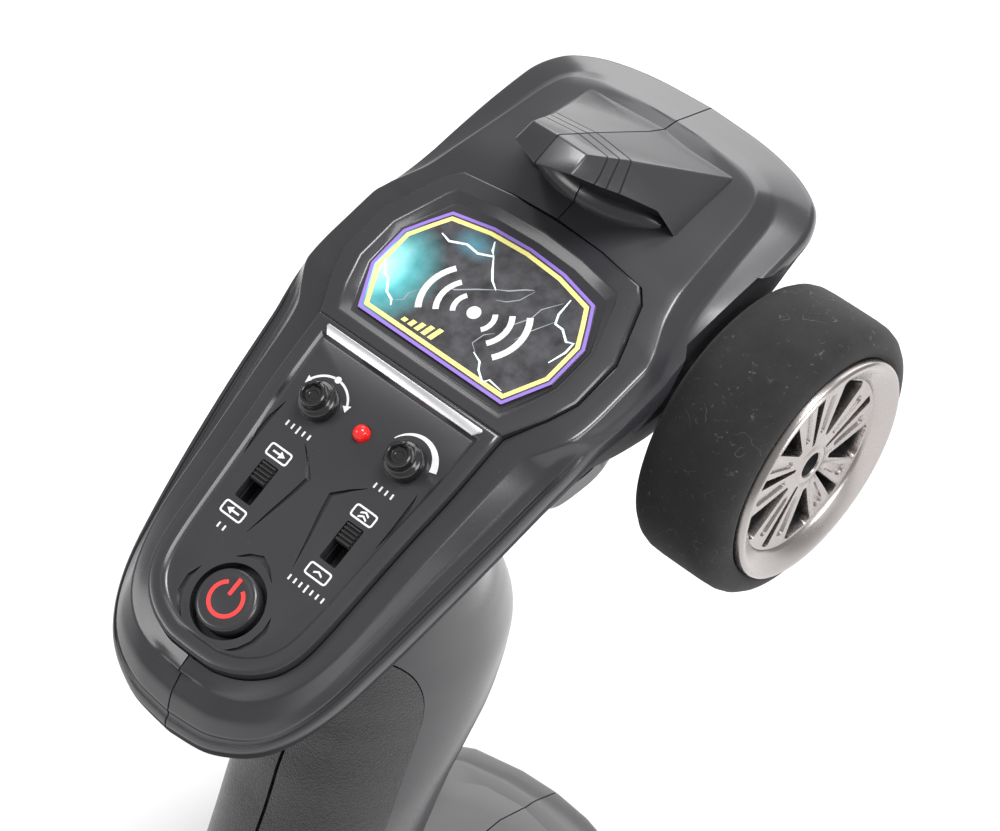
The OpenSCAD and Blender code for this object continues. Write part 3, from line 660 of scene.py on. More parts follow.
def head_solid(inset=0.0):
    """The head as one closed solid, without its groove when inset for the inside."""
    rows = [np.concatenate([*places, [depth]]) for places, depth in zip(HEAD, GROOVE_DEPTH)]
    rows = smooth_rows(rows, 60 if inset else SAMPLES)
    sections = []
    for row in rows:
        crest, foot, ledge, floor = row[0:3], row[3:6], row[6:9], row[9:12]
        depth = row[12]
        side = (ledge - crest) * [1, 1, 0]
        side /= max(np.linalg.norm(side), 1e-6)
        if inset:
            slide = side * inset
            crest = crest - slide - [0, 0, inset]
            foot = foot - slide * 1.1 - [0, 0, inset * 0.6]
            ledge = ledge - slide * 1.1 - [0, 0, inset * 0.6]
            floor = floor - slide * 0.8 + [0, 0, inset]
            for p in (crest, foot, ledge, floor):
                p[0] = max(p[0], 0)
        top = np.array([0, crest[1], deck_height(crest[1]) - inset])
        lift = (0.35 if crest[1] > 40 else 0.15) * min(crest[0] / 8, 1)
        flat = np.array([max(crest[0] - 4, crest[0] * 0.6), crest[1], crest[2] + lift])
        bottom = np.array([0, floor[1], floor[2]])
        chain = [top, flat, crest, foot]
        radii = [0, 6, 0.55, 0.9]
        if not inset:
            band = ledge - foot
            down = np.array([0, 0, -0.55 * depth])
            # Across the ledge: the groove's rim, its two bottom edges and its other rim
            chain += [foot + band * 0.50, foot + band * 0.57 + down, foot + band * 0.70 + down,
                      foot + band * 0.77]
            radii += [0.3] * 4
        under = ledge + side * 0.25 + [0, 0, -2.4]
        belly = (under * 0.55 + floor * 0.45) + side * 1.6
        chain += [ledge, under, belly, floor, bottom]
        radii += [1.0, 1.6, 9, 5, 0]
        for p in chain:
            p[0] = max(p[0], 0)
        sections.append(rounded(chain, radii, 2 if inset else 4))
    width = len(sections[0])
    points = [tuple(p) for s in sections for p in s]
    half = len(points)
    points += [(-p[0], p[1], p[2]) for p in points]
    faces = []
    for i in range(len(sections) - 1):
        for j in range(width - 1):
            quad = (i * width + j, (i + 1) * width + j, (i + 1) * width + j + 1, i * width + j + 1)
            faces.append(quad)
            faces.append(tuple(half + q for q in reversed(quad)))
    return build(points, faces, PANEL)


# ---- fin on the deck

def fin_solid():
    """Faceted fin that hooks back over the badge, with three level grooves round it

    The tables are its right half; c, e, f ... name their corners in order for the faces.
    """
    top = [(0, 51.7, 12.4), (6.2, 53.7, 11.6), (5.96, 58.4, 10.95), (0, 58.3, 12)]
    slope = [(0, 63.7, 3.3), (8.5, 63.8, 1.8), (16.4, 75.6, -17.5), (0, 73.8, -13.8), (0, 78.4, -20.4),
             (12, 77.6, -21)]
    lip = [(8.8, 56.1, 5.4), (11, 58, 1.1), (14.7, 60.5, -5.4), (17.4, 59.6, -11.9)]
    hollow = [(0, 56.3, 4), (4.5, 57, 2.6), (7.4, 58.4, 0), (10.4, 59.8, -3), (14, 61.4, -8),
              (16.8, 60.4, -13)]
    foot = [(0, 58.2, -13), (4, 58.4, -13), (7.6, 59, -13.5), (11, 60.2, -14), (14.4, 61.6, -14.5),
            (17, 61, -15)]
    low = [(15.6, 75, -24), (0, 67, -25)]
    points = top + slope + lip + hollow + foot + low
    c, e, f, d, n3, u3, u4, n4, n5, u5, l1, l2, l3, l4 = range(14)
    h = list(range(14, 20))
    g = list(range(20, 26))
    s1, z0 = 26, 27
    edge = [c, e, l1, l2, l3, l4]
    faces = [(c, e, f, d), (d, f, u3, n3), (n3, u3, u4, n4), (n4, u4, u5, n5), (f, e, l1), (f, l1, u3),
             (l1, l2, u3), (u3, l2, l3), (u3, l3, u4), (u4, l3, l4), (u4, l4, g[5], s1), (u4, s1, u5),
             (l4, h[5], g[5])]
    outer_walls = tuple(faces)
    for i in range(5):
        faces += [(edge[i], edge[i + 1], h[i + 1], h[i]), (h[i], h[i + 1], g[i + 1], g[i]),
                  (g[i], g[i + 1], z0)]
    faces += [(g[5], s1, z0), (s1, u5, z0), (u5, n5, z0)]
    # The core the grooves stop at: under the outer walls, and past the lip into the hollow
    depth, past_lip = 0.6, 1.5
    push = [Vector() for _ in points]
    heart = Vector((0, 63, -6))
    for face in outer_walls:
        p, q, r = (Vector(points[i]) for i in face[:3])
        normal = (q - p).cross(r - q).normalized()
        for i in face:
            push[i] += normal if normal.dot(p - heart) > 0 else -normal
    beyond = {c: d, e: f, l1: f, l2: u3, l3: u4, l4: u4}
    inside = []
    for i, place in enumerate(points):
        push[i].x *= place[0] != 0
        spot = Vector(place) - push[i].normalized() * depth
        if i in beyond:
            spot += (Vector(place) - Vector(points[beyond[i]])).normalized() * past_lip
        if i in h:
            spot = Vector(place) + Vector((0, -past_lip, -0.8))
        inside.append(tuple(spot))
    half = len(points)
    faces += [tuple(half + i for i in reversed(face)) for face in faces]
    fin, core = (build(half_points + [(-x, y, z) for x, y, z in half_points], faces, PANEL)
                 for half_points in (points, inside))
    grooves = cut(union_of(*[block((-30, 40, z - 0.17), (30, 90, z + 0.17), PANEL) for z in (6.6, 4.2, 1.8)]),
                  core)
    return cut(bevel(fin, 0.4, 2, 20), grooves)


def hump_solid():
    """The rounded glossy ridge in the recess under the fin"""
    rings = []
    for t in np.linspace(-1, 1, 33)[1:-1]:
        size = max(1 - abs(t)**3.0, 0) ** 0.5
        rings.append([(15.2 * t, 57.4 + 3.4 * t**2 + 3.6 * size * math.cos(a),
                       -10.9 - 2.2 * t**2 + 4.6 * size * math.sin(a))
                      for a in np.linspace(0, 2 * math.pi, 28, endpoint=False)])
    return stack(rings, PANEL)


# ---- grip and base of the two shells

# Grip: height, centre along y, half-width, half-depth, squareness
GRIP = [(20, -32, 21.5, 25.5, 2.3), (32, -29.5, 19, 23, 2.3), (50, -23.5, 17.7, 22, 2.3),
        (66, -18.6, 17.6, 21.6, 2.3), (80, -13.5, 17.8, 21.8, 2.3), (93, -8.3, 18.2, 22.5, 2.3),
        (99, -4.6, 18.3, 24.2, 2.2), (106, -0.6, 18.2, 26.1, 2.15), (113, 2, 18, 26.2, 2.1),
        (119, 3.2, 17.7, 25.2, 2.1), (126, 3, 17, 22.9, 2.1), (131, 2.2, 16.5, 20.8, 2.1),
        (136, 1, 16, 18.6, 2.1), (150, 0, 15, 16.4, 2.1)]
# Base: right half of the plan, from the front to the back
FOOTPRINT = [(0, 61.6), (9, 60.9), (20.2, 58.2), (23.7, 55.9), (34, 43), (37.2, 33), (38, 24), (38, -30),
             (36.4, -39), (33, -47.5), (22.5, -58.3), (12, -61), (0, -61.5)]


def grip_solid(inset=0.0):
    rows = smooth_rows(GRIP, 60)
    rings = []
    for z, y, w, d, p in rows:
        ring = []
        for a in np.linspace(0, 2 * math.pi, 72, endpoint=False):
            c, s = math.cos(a), math.sin(a)
            slim = 1 - 0.16 * max(s, 0) ** 2
            ring.append(((w - inset) * slim * math.copysign(abs(c) ** (2 / p), c),
                         y + (d - inset) * math.copysign(abs(s) ** (2 / p), s), z))
        rings.append(ring)
    return stack(rings)


def base_solid(inset=0.0):
    plan = mirrored(FOOTPRINT)

    def level(z, share, drift=0.0):
        grow = share - inset / 45
        return [(x * grow, y * grow + drift, z) for x, y in plan]

    rings = [level(1.5 + inset, 0.962), level(2.6 + inset * 0.5, 0.985), level(4.8, 1.0), level(16.8, 1.0),
             level(19.9, 0.99), level(20.7 - inset, 0.972), level(23.4 - inset, 0.885, -0.3)]
    if not inset:
        rings += [level(24.0, 0.862, -0.4), level(26.4, 0.62, -3)]
    return stack(rings)


def base_facets():
    """Raised facets on the base, from before the grip into its foot"""
    low = mirrored([(0, 50), (9.5, 48.5), (16, 44), (21, 31), (23, 8), (19, -20), (0, -30)])
    return stack([at(low, 22), [(x, y, 25.6 - 0.02 * y) for x, y in low],
                  [(x * 0.78, y * 0.8 + 2, 27.6) for x, y in low]])


# ---- control panel outlines

# Right halves, from back to front: rear plate, outer edge, crest and inner foot of the surround, badge
PANEL_REAR = [(0, -46.3), (4, -46.2), (8, -45.2), (12, -43), (15.3, -39.4), (17, -35), (17.7, -30),
              (18.4, -20), (19.1, -10), (20, 0), (20.6, 13)]
SURROUND = [(0, 13), (20.6, 13), (24.5, 19.8), (26.4, 25), (26.4, 34.5), (22, 46), (19.8, 48.4), (10, 49.8),
            (0, 50.2)]
SURROUND_CREST = [(0, 15), (18.2, 15), (20.6, 19.6), (22.6, 25.2), (22.6, 33.6), (19, 43.2), (17.9, 45),
                  (9, 46.5), (0, 47)]
SURROUND_FOOT = [(0, 16.2), (17, 16.2), (19.3, 20.8), (21.3, 25.3), (21.4, 33.8), (17.4, 42.5), (16.6, 43.3),
                 (8.5, 44.8), (0, 45.2)]
LABEL = [(0, 17.5), (16.3, 17.5), (20.54, 25.4), (20.6, 29.5), (20.64, 33.6), (18.4, 37.6), (16.15, 41.3),
         (8, 43.1), (0, 43.6)]


def rear_outline(grow=0.0):
    """Plan of the rear plate, grown by a gap"""
    return inset_outline(anticlockwise(mirrored(smooth_rows(PANEL_REAR, 40))), -grow)


def surround_outline(grow=0.0):
    return inset_outline(anticlockwise(mirrored(SURROUND)), -grow)


# ---- the two shells

SIDES = ((-1, "left"), (1, "right"))
# Screw posts between the shells, as (y, z)
POSTS = [(66, 176), (-40, 141.5), (9, 112), (-27, 58), (47.5, 11), (-48, 11)]
WALL = 2.2
# Gap between the shells and the plates set into them
FIT = 0.28
TONGUE_DEPTH = 0.4


def pad_zone(grow=0.0):
    """Side view of the grip pads: straight front edge, rounded upper front corner"""
    outline = [(-80, 49.7 - grow), (-29 + grow, 49.7 - grow), (-17.5 + grow, 92), (-12.5 + grow, 104),
               (-8 + grow, 115), (-7.6 + grow, 121), (-9.4 + grow, 127), (-13.5 + grow * 0.5, 131.5 + grow),
               (-20, 134 + grow), (-80, 140 + grow)]
    return prism(rounded(outline, [0, 2, 14, 10, 6, 3, 3, 3, 3, 0], 4), -40, 40, across(0, 0, 0))


def shells():
    """Left and right shell, hollow, with every opening the CAD shells have"""
    outer = union_of(head_solid(), fin_solid(), grip_solid(), base_solid(), base_facets(), hump_solid())
    # Tongue of the left shell that closes the seam a little under its surface
    tongue = copy(outer)
    for y, z in ((TONGUE_DEPTH, 0), (-TONGUE_DEPTH, 0), (0, TONGUE_DEPTH), (0, -TONGUE_DEPTH)):
        shifted = copy(outer)
        shifted.data.transform(Matrix.Translation((0, y, z)))
        combine(tongue, shifted, "INTERSECT")
    combine(tongue, block((-0.25, -100, -10), (0.13, 120, 240)), "INTERSECT")
    # Hollow inside, less the screw posts and the collar round the wheel's shaft
    inner = union_of(head_solid(WALL), grip_solid(WALL), base_solid(WALL))
    cut(inner, union_of(*[prism(circle(4, 24), -60, 60, across(0, y, z)) for y, z in POSTS]),
        prism(circle(11, 40), 14, 26, AXIS))
    openings = [
        inner,
        # Seat of the rear plate, the opening under it, and the seat of the badge's surround
        prism(rear_outline(FIT), -3.35, 12, PANEL),
        prism(rear_outline(-1.5), -8, 2, PANEL),
        prism(surround_outline(FIT), -4.6, 12, BADGE),
        # Arch over the tyre, recess behind the rim, and the hole of the bush
        prism(circle(28.7, 96), 30.9, 70, AXIS),
        prism(circle(10.5, 48), 25, 70, AXIS),
        prism(circle(7, 40), 10, 30, AXIS),
        # Trigger slot, then the battery door's opening and its rails
        block((-5.6, 32.5, 142), (5.6, 54.5, 154)),
        block((-27.3, -70, 0), (27.3, 31.3, 6)),
        block((-28.9, -70, 2.3), (28.9, 31.3, 3.5)),
        # Shallow recess of the grip pads
        cut(pad_zone(0.3), grip_solid(1.35), head_solid(0.15))]
    for y, z in POSTS:
        # Sunk screw head on the left side, and the screw's own hole
        openings += [prism(circle(3, 24), -70, -9, across(0, y, z)),
                     prism(circle(1.6, 20), -10, 10, across(0, y, z))]
    for side, name in SIDES:
        shell = half_of(outer, side)
        if side < 0:
            combine(shell, tongue, "UNION")
        for opening in openings:
            combine(shell, opening, "DIFFERENCE", keep=True)
        skin(shell, name + "_shell", "shell", smooth=28)
    for work in [outer] + openings:
        bpy.data.objects.remove(work)


def grip_pads():
    """The two grained pads on the back of the grip, 0.2 mm proud"""
    whole = combine(grip_solid(-0.2), pad_zone(), "INTERSECT")
    cut(whole, grip_solid(1.3), head_solid(-0.3))
    for side, name in SIDES:
        finish_piece(half_of(whole, side, 0.35), name + "_pad_skin", FINISH["grip_pad"],
                     node=name + "_grip_pad", smooth=30)
    bpy.data.objects.remove(whole)


# ---- control panel

# Places on the panel: the columns of controls, then the rows from front to back
CONTROL_X, KNOB_Y, SLIDER_Y, SLOT_Y, BUTTON_Y = 9.8, 0.2, -15, -16.9, -35.6
# Upper and lower printed frame of each slide switch
FRAME_ROWS = (-10.9, -23.1)
THROUGH = (-9, 9)
ENGRAVED = (-0.6, 3)
# Ink starts a little under the surface and stands INK over it
SUNK, INK = -0.02, 0.05

# (inset, height) over the raised border of the rear plate
BORDER = [(0, -2), (0, 0.15), (0.12, 0.5), (0.45, 0.76), (0.8, 0.84), (2.3, 0.84), (2.65, 0.74), (2.95, 0.4),
          (3.25, 0.12), (3.6, 0.0)]
# Path and widths of the right half's lines: V beside the switch, slit outside it, crescent by the button
ENGRAVINGS = [([(7.2, -6.9), (4.9, -8.8), (2.6, -11.3), (3.2, -14.6), (4.4, -19.8), (5.4, -24.6)],
               [0.1, 0.45, 1.05, 0.8, 0.5, 0.08]),
              ([(15.1, -2.9), (15.55, -6.5), (15.6, -9.5), (15.2, -14.2)], [0.08, 0.85, 0.8, 0.08]),
              ([(8.1, -33.5), (8.75, -36), (8.3, -38.8), (6.9, -41), (5, -42.4)],
               [0.08, 0.9, 1.1, 0.8, 0.08])]
# Lightning on the badge: path, width, and whether it is a bright stroke
BOLTS = [
    ([(-6.1, 40.9), (-5.2, 39.3), (-4.3, 38.5), (-6.9, 37.4), (-9.6, 37.7), (-12.6, 36.4), (-14.7, 36.9)],
     0.42, True),
    ([(-4.4, 38.7), (-2.6, 36.4), (-1.2, 34.8), (0.6, 33.7)], 0.40, True),
    ([(0.5, 33.8), (2.5, 34.9), (4.6, 36.7), (5.9, 37.5)], 0.26, False),
    ([(0.5, 33.7), (-2.2, 31.9), (-5.1, 29.7), (-7, 29.2)], 0.26, False),
    ([(12.2, 39.7), (12.4, 36.3), (13.2, 34.6), (14.9, 34.5), (17, 33), (18.2, 33.5), (18.3, 31.4),
      (17.3, 28.2)], 0.40, True),
    ([(12.9, 34.8), (10.9, 31.3), (9.7, 28.2)], 0.20, False),
    ([(11.6, 38.4), (9.4, 35.3), (9.2, 33), (7.6, 30.4), (6.9, 28.6)], 0.20, False),
    ([(6.2, 37.4), (5.2, 34.6), (3.6, 33), (1.9, 32.2)], 0.18, False),
    ([(-19.1, 27.4), (-17.2, 25.2), (-15.9, 24.7), (-14.3, 22.6), (-12.6, 21.9), (-11.9, 21)], 0.42, True),
    ([(-12.4, 21.8), (-10.9, 23.1), (-11.1, 24.6), (-10.2, 25.9)], 0.18, False),
    ([(5.8, 22.4), (7.9, 21.6), (8.8, 20.3), (10.9, 18.9), (11.6, 19.9), (14.6, 19.5)], 0.34, True),
    ([(6, 22.5), (4.4, 23.6), (4.9, 25.9), (6.2, 27.2)], 0.18, False)]


def joined(parts):
    """Several separate closed forms as one object"""
    bm = bmesh.new()
    for part in parts:
        bm.from_mesh(part.data)
    bm.to_mesh(parts[0].data)
    bm.free()
    for part in parts[1:]:
        bpy.data.objects.remove(part)
    return parts[0]


def ribbon(path, widths, low, high, matrix=PANEL):
    """A flat line through the path whose width changes from point to point"""
    path = [Vector(p) for p in path]
    left, right = [], []
    for i, here in enumerate(path):
        ahead = (path[min(i + 1, len(path) - 1)] - path[max(i - 1, 0)]).normalized()
        side = Vector((-ahead.y, ahead.x)) * widths[i] / 2
        left.append(here + side)
        right.append(here - side)
    return prism(left + right[::-1], low, high, matrix)


def arc(centre, radius, start, end, widths, low, high, steps=24, matrix=PANEL, stretch=1):
    """A ribbon along part of a circle, its width running between two values"""
    turns = [math.radians(start + (end - start) * k / steps) for k in range(steps + 1)]
    return ribbon([polar(radius, a, centre, stretch) for a in turns],
                  [widths[0] + (widths[1] - widths[0]) * k / steps for k in range(steps + 1)], low, high,
                  matrix)


def band(outer, inner, low, high, matrix=PANEL):
    """A flat frame between two closed outlines of equal length"""
    loop = ((outer, low), (outer, high), (inner, high), (inner, low), (outer, low))
    return stack([at(outline, z) for outline, z in loop], matrix, (False, False))


def box_outline(centre, size, radius):
    x, y, w, h = centre[0], centre[1], size[0] / 2, size[1] / 2
    corners = [(x - w, y - h), (x + w, y - h), (x + w, y + h), (x - w, y + h)]
    return rounded(corners, [radius] * 4, 4, True)


def layers(steps, matrix):
    """A solid through outlines one over the other, each (outline, how far it is moved in, height)"""
    return stack([at(inset_outline(outline, inset), z) for outline, inset, z in steps], matrix)


def control_panel():
    """Rear plate with its raised border, engraved lines and holes, and the surround of the badge"""
    outline = rear_outline()
    rear = layers([(outline, inset, z) for inset, z in BORDER], PANEL)
    holes = [prism(circle(1.65, 40), *THROUGH, PANEL), prism(circle(6.8, 72, (0, BUTTON_Y)), *THROUGH, PANEL)]
    for side, _ in SIDES:
        x = side * CONTROL_X
        holes += [prism(circle(1.9, 40, (x, KNOB_Y)), *THROUGH, PANEL),
                  prism(box_outline((x, SLOT_Y), (3.7, 7.8), 0.35), *THROUGH, PANEL)]
        holes += [ribbon([(side * x, y) for x, y in path], widths, *ENGRAVED) for path, widths in ENGRAVINGS]
    holes.append(ribbon([(-4.2, -28.9), (-2.2, -27.4), (0, -26.6), (2.2, -27.4), (4.2, -28.9)],
                        [0.08, 0.7, 1.1, 0.7, 0.08], *ENGRAVED))
    cut(rear, *holes)

    # Up the outer wall, over the crest and down to the badge
    wall, crest, foot = (anticlockwise(mirrored(half)) for half in (SURROUND, SURROUND_CREST, SURROUND_FOOT))
    surround = layers([(wall, 0, -3.9), (wall, 0, 0.45), (wall, 0.3, 0.75), (crest, -0.35, 1.02),
                       (crest, 0, 1.0),
                       (crest, 0.25, 0.86), (foot, 0, -0.35), (foot, 0.25, -0.42)], BADGE)
    skin(joined([rear, surround]), "control_panel", "panel", smooth=30)


def badge():
    """Printed plate with a violet and a yellow line, lightning, and a plain radio-wave sign"""
    plan = anticlockwise(mirrored(LABEL))
    plate = prism(plan, -0.5, 0, BADGE)
    back = BADGE.inverted()
    layer = plate.data.uv_layers.new(name="print")
    for loop in plate.data.loops:
        place = back @ plate.data.vertices[loop.vertex_index].co
        layer.data[loop.index].uv = (place.x / 100, place.y / 100)
    finish_piece(plate, "badge_face", BADGE_PRINT, node="badge_plate", smooth=20)

    def printed(name, ink, parts):
        finish_piece(joined(parts), name, ink)

    for name, ink, outer, inner in (("badge_violet_line", VIOLET_INK, 0.02, 0.62),
                                    ("badge_yellow_line", YELLOW_INK, 0.95, 1.75)):
        printed(name, ink, [band(inset_outline(plan, outer), inset_outline(plan, inner), SUNK, INK, BADGE)])

    # Each stroke is a hair higher than the one before, so that crossings don't flicker
    for name, ink, chosen, tip, height, rise in (("badge_lightning", ICE_INK, True, 0.45, INK, 0.01),
                                                 ("badge_faint_lightning", FAINT_INK, False, 0.35, INK * 0.8,
                                                  0.008)):
        printed(name, ink, [ribbon(path, [width * tip] + [width] * (len(path) - 2) + [width * tip],
                                   SUNK, height + rise * i / len(BOLTS), BADGE)
                            for i, (path, width, bright) in enumerate(BOLTS) if bright == chosen])

    # Generic sign in the middle: a dot with three waves at each side, and a rising row of bars below
    middle, top = (0.6, 28.2), INK + 0.02
    printed("badge_waves", WHITE_INK, [prism(circle(1.25, 32, middle), SUNK, top, BADGE)] + [
        arc(middle, radius, start, start + 68, (width, width), SUNK, top, 16, BADGE, 1.18)
        for radius, width in ((3.3, 0.95), (5.9, 1.05), (8.6, 1.15)) for start in (-34, 146)])
    foot, thick, lean = 19.9, 0.95, 0.25
    printed("badge_bars", YELLOW_INK, [
        prism([(x, foot), (x + thick, foot), (x + thick + lean * h, foot + h), (x + lean * h, foot + h)],
              SUNK, INK, BADGE) for x, h in ((-8.6, 0.8), (-7.1, 1.25), (-5.6, 1.7), (-4.1, 2.15),
                                             (-2.6, 2.6))])


def panel_marks():
    """White marks beside the knobs and switches: arcs, frames, arrows and ticks"""
    left, right, radius = (-CONTROL_X, KNOB_Y), (CONTROL_X, KNOB_Y), 4.9

    def mark(outline):
        return prism(outline, SUNK, INK, PANEL)

    def beside_left(distance, angle):
        return polar(distance, math.radians(angle), left)

    marks = [arc(left, radius, 26, 82, (0.42, 0.42), SUNK, INK),
             arc(left, radius, 98, 150, (0.42, 0.42), SUNK, INK),
             mark(circle(0.62, 24, beside_left(radius, 90))),
             arc(right, 5.15, 152, 14, (0.16, 1.35), SUNK, INK, 36)]
    for angle, turn in ((26, -1), (150, 1)):
        marks.append(mark(anticlockwise([beside_left(4.1, angle), beside_left(5.7, angle),
                                         beside_left(radius, angle + turn * 14)])))
    for side, _ in SIDES:
        for y in FRAME_ROWS:
            outline = box_outline((side * CONTROL_X, y), (4.9, 2.5), 0.7)
            marks.append(band(outline, inset_outline(outline, 0.34), SUNK, INK))
    # Turn arrows inside the left frames, one and two chevrons inside the right ones
    arrow = [(-1.3, -0.18), (0.2, -0.18), (0.2, -0.7), (1.4, 0), (0.2, 0.7), (0.2, 0.18), (-1.3, 0.18)]
    chevron = [(-0.9, -0.38), (0, 0.08), (0.9, -0.38), (0.9, -0.02), (0, 0.46), (-0.9, -0.02)]
    for y, way in zip(FRAME_ROWS, (1, -1)):
        marks.append(mark(anticlockwise([(way * u - CONTROL_X, y + v) for u, v in arrow])))
    for y, rows in zip(FRAME_ROWS, ((-0.42, 0.34), (0,))):
        marks += [mark([(CONTROL_X + u, y + row + v) for u, v in chevron]) for row in rows]
    # Plain scale ticks where the real panel has its captions, the middle one of an odd row longer
    for x, count, y in ((-CONTROL_X, 5, -5.7), (CONTROL_X, 4, -5.7), (-CONTROL_X, 2, -26.3),
                        (CONTROL_X, 7, -26.3)):
        for k in range(count):
            off = k - (count - 1) / 2
            middle, tall = x + off * 1.25, 0.5 if off else 0.75
            marks.append(mark([(middle - 0.17, y - tall), (middle + 0.17, y - tall),
                               (middle + 0.17, y + tall),
                               (middle - 0.17, y + tall)]))
    finish_piece(joined(marks), "panel_marks", WHITE_INK)


def controls():
    """Metal strip, knobs, slider caps, status light and power button"""
    strip = prism([(-16.6, 10.2), (16.6, 10.2), (17.7, 11.6), (17.5, 12.05), (-17.5, 12.05), (-17.7, 11.6)],
                  -0.1, 1.05, PANEL)
    skin(bevel(strip, 0.22, 3, 30), "trim_strip", "trim")

    stem = [(0, -6.4), (1.5, -6.4), (1.5, 0.3)]
    skirt = [(3.3, 0.3), (3.5, 0.5), (3.52, 1.5), (3.42, 1.95), (3.1, 2.3), (2.72, 2.5)]
    cap = [(2.52, 2.75), (2.46, 3.2), (2.42, 4.2), (2.32, 4.5), (2.1, 4.66), (1.85, 4.64), (1.68, 4.45),
           (1.6, 3.95), (1.4, 3.72), (0.9, 3.66), (0.75, 3.5), (0, 3.48)]
    for side, name, body in ((-1, "trim_knob", "trim_dial"), (1, "rate_knob", "rate_dial")):
        place = PANEL @ Matrix.Translation((side * CONTROL_X, KNOB_Y, 0))
        knob = lathe(stem + skirt + cap, place, 64)
        cut(knob, prism([(-0.22, 1.6), (0.22, 1.6), (0.22, 2.6), (-0.22, 2.6)], 4.3, 6, place))
        skin(knob, name, "knobs", body, 40)

    # (height, half-width along the slot) of a rib on the sliders
    rib_steps = ((-0.8, 0.27), (-0.05, 0.25), (0.22, 0.16), (0.3, 0.08))
    for side, name, body in ((-1, "reverse_switch_slider", "reverse_slider"),
                             (1, "speed_switch_slider", "speed_slider")):
        x = side * CONTROL_X
        slider = block((-1.55, -1.85, -4.6), (1.55, 1.85, -0.35),
                       PANEL @ Matrix.Translation((x, SLIDER_Y, 0)))
        for k in range(5):
            y = SLIDER_Y + (k - 2) * 0.76
            combine(slider, stack([[(x + u, y + v, z) for u,
                                    v in ((-1.5, -w), (1.5, -w), (1.5, w), (-1.5, w))]
                                   for z, w in rib_steps], PANEL), "UNION")
        skin(slider, name, "sliders", body, 40)

    led = 1.5
    dome = [polar(led, a, (0, 0.2)) for a in np.linspace(0.15, math.pi / 2 - 0.15, 9)]
    lens = lathe([(0, -5.2), (led, -5.2), (led, 0.2)] + dome + [(0, 1.7)], PANEL, 48)
    skin(lens, "status_led", "led", smooth=40)

    plunger = [(0, -4.2), (1.4, -4.2), (1.4, -3.6), (7.6, -3.6), (7.6, -2.7), (5.6, -2.7)]
    face = [(5.62, 0.35), (5.5, 0.8), (5.15, 1.08), (4.7, 1.14), (4.4, 1.06), (3.2, 1.16), (1.6, 1.26),
            (0, 1.3)]
    button = lathe(plunger + face, PANEL @ Matrix.Translation((0, BUTTON_Y, 0)), 96)
    skin(button, "power_button", "button", "power_key", 40)
    line = 0.72
    sign = [arc((0, BUTTON_Y), 3.05, 122, 418, (line, line), 1.0, 1.24, 48),
            prism(box_outline((0, BUTTON_Y + 2.5), (line, 3.3), 0.2), 1.0, 1.33, PANEL)]
    finish_piece(joined(sign), "power_sign", RED_INK, "power_key")


# ---- wheel and trigger

# (radius, height along the shaft) round the tyre's section
TYRE = [(20.75, 32.2), (21.6, 31.8), (23.0, 31.82), (24.4, 32.1), (25.7, 32.8), (26.6, 33.9), (27.05, 35.3),
        (27.18, 37.5), (27.2, 41.8), (27.18, 46.1), (27.05, 48.3), (26.6, 49.7), (25.7, 50.8), (24.4, 51.5),
        (23.1, 51.78), (22.4, 51.7), (22.05, 51.3), (21.95, 50.7), (20.75, 50.65)]
# The same round the rim: barrel, polished lip, face, hub
BARREL = [(19.5, 32.8), (20.7, 32.8), (20.7, 50.6), (21.88, 50.6)]
LIP = [(21.9, 52.5), (21.78, 52.9), (21.5, 53.15), (21.1, 53.2), (20.6, 53.05), (17.9, 51.25), (17.5, 50.95),
       (17.3, 50.55), (16.9, 50.4)]
HUB = [(4.3, 50.4), (3.9, 50.55), (3.6, 50.75), (3.0, 50.8), (2.6, 50.7), (2.4, 50.4), (2.4, 47.5),
       (1.6, 47.5), (1.6, 44.5), (3.0, 44.5), (3.0, 33), (5.6, 33), (5.6, 46.6), (19.5, 46.6)]
# Openings in the rim's face, drawn along x: outline and radii of its corners
SLIT = ([(4.6, -0.2), (16.6, -0.95), (16.6, 0.95), (4.6, 0.2)], [0.15, 0.5, 0.5, 0.15])
POCKET_RADII = [0.25, 0.6, 0.3, 0.3, 0.6, 0.25]
POCKET = ([(6.2, -0.3), (16, -3.3), (16.6, -2.4), (16.6, 2.4), (16, 3.3), (6.2, 0.3)], POCKET_RADII)
# Outer edge of the pocket's polished bevel, with a ramp at its outer end
POCKET_RIM = ([(6.0, -0.5), (16.2, -3.7), (17.0, -2.6), (17.0, 2.6), (16.2, 3.7), (6.0, 0.5)], POCKET_RADII)
SPOKES = 5
# Radius, angle from the slit and half-width at both ends of the long recesses beside it
RECESS = ((7, 16, 0.4), (14.8, 13.8, 0.95))


